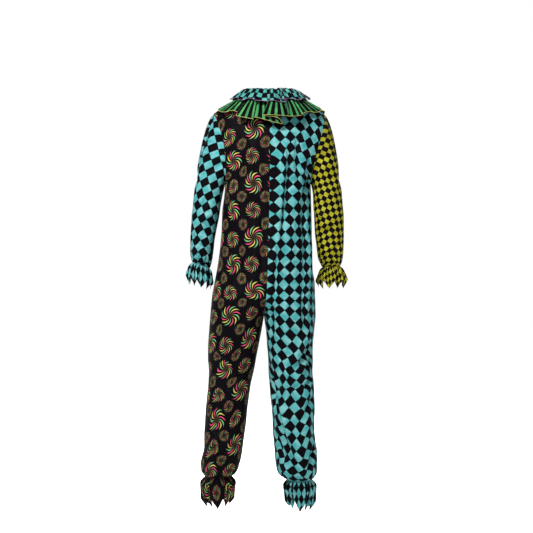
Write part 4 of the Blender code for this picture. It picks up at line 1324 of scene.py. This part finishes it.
def collar(panels):
    edge = neckline(panels)
    inside = np.array([0.0, 0.0, UNDERARM_HEIGHT])
    for name, tier in TIERS.items():
        slot = tier["slot"]
        points, uv = fine_tier(tier, edge)
        node = f"collar_{name}_tier"
        obj = shell(node, points, uv, FABRICS[slot], inside=inside)
        thread = plain(*tier["edging"], 0.6, grain=0.4)
        hem = edging(f"{node}_edging", points[-1] - [0.0, 0.0, SHELL / 2], thread)


def zip_teeth():
    """The closed zip: a woven tape with two rows of teeth that mesh on the centre line."""
    stations = np.linspace(ZIP_TOP, HIP, LINE_ROWS)
    line = body_grid(LEFT, FRONT, stations, np.zeros(1))[:, 0]
    out = unit(body_normals(LEFT, FRONT, stations, np.zeros(1))[:, 0] * [0.0, 1.0, 1.0])
    kept = line[:, 2] > ZIP_BOTTOM
    line, out = line[kept] + out[kept] * SEAM, out[kept]
    at = arc(line[:, None], 0)[:, 0]
    corners = []

    def bar(ends, facing, sides, levels):
        """Eight corners of a bar between two places on the line, facing as it does at others."""
        place, normal = (
            np.stack([np.interp(where, at, column) for column in rows.T], axis=-1)
            for where, rows in ((ends, line), (facing, out))
        )
        for level in levels:
            for x, row in ((sides[0], 0), (sides[1], 0), (sides[1], 1), (sides[0], 1)):
                corners.append(place[row] + normal[row] * level + [x, 0.0, 0.0])

    half = CHAIN_WIDTH / 2
    for i, middle in enumerate(np.arange(TOOTH_PITCH, at[-1] - TOOTH_PITCH, TOOTH_PITCH)):
        side = 1 if i % 2 else -1
        ends = (middle - TOOTH_LENGTH / 2, middle + TOOTH_LENGTH / 2)
        sides = (side * half * 0.96, -side * TOOTH_OVERLAP)
        bar(ends, (middle, middle), sides, (0.22 * CHAIN_THICK, CHAIN_THICK))
    tape = np.linspace(0, at[-1], TAPE_ROWS)
    for ends in zip(tape[:-1], tape[1:]):
        bar(ends, ends, (-half, half), (0.0, 0.30 * CHAIN_THICK))
    faces = np.arange(len(corners)).reshape(-1, 8)[:, BAR_FACES].reshape(-1, 4)
    mesh = bpy.data.meshes.new("zip_teeth")
    mesh.from_pydata((np.array(corners) - FLOOR_TO_ORIGIN).tolist(), [], faces.tolist())
    obj = add("zip_teeth", mesh, plain("zip_black", (0.012, 0.012, 0.013), 0.42, grain=0.5))
    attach(obj, "suit")
    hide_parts("zip_chain")


def metal_parts():
    """The slider and the pull keep their solids, with softened edges and brushed nickel."""
    nickel = plain("nickel", (0.46, 0.46, 0.47), 0.30, metallic=1.0, grain=0.15)
    for name in ("zip_slider", "zip_pull"):
        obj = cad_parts[name]
        obj.data.materials.clear()
        obj.data.materials.append(nickel)
        bevel = obj.modifiers.new("edges", "BEVEL")
        bevel.width = 0.00025
        bevel.segments = 2
        bevel.limit_method = "ANGLE"


panels = body()
sleeves(panels)
frills()
collar(panels)
zip_teeth()
metal_parts()
studio()
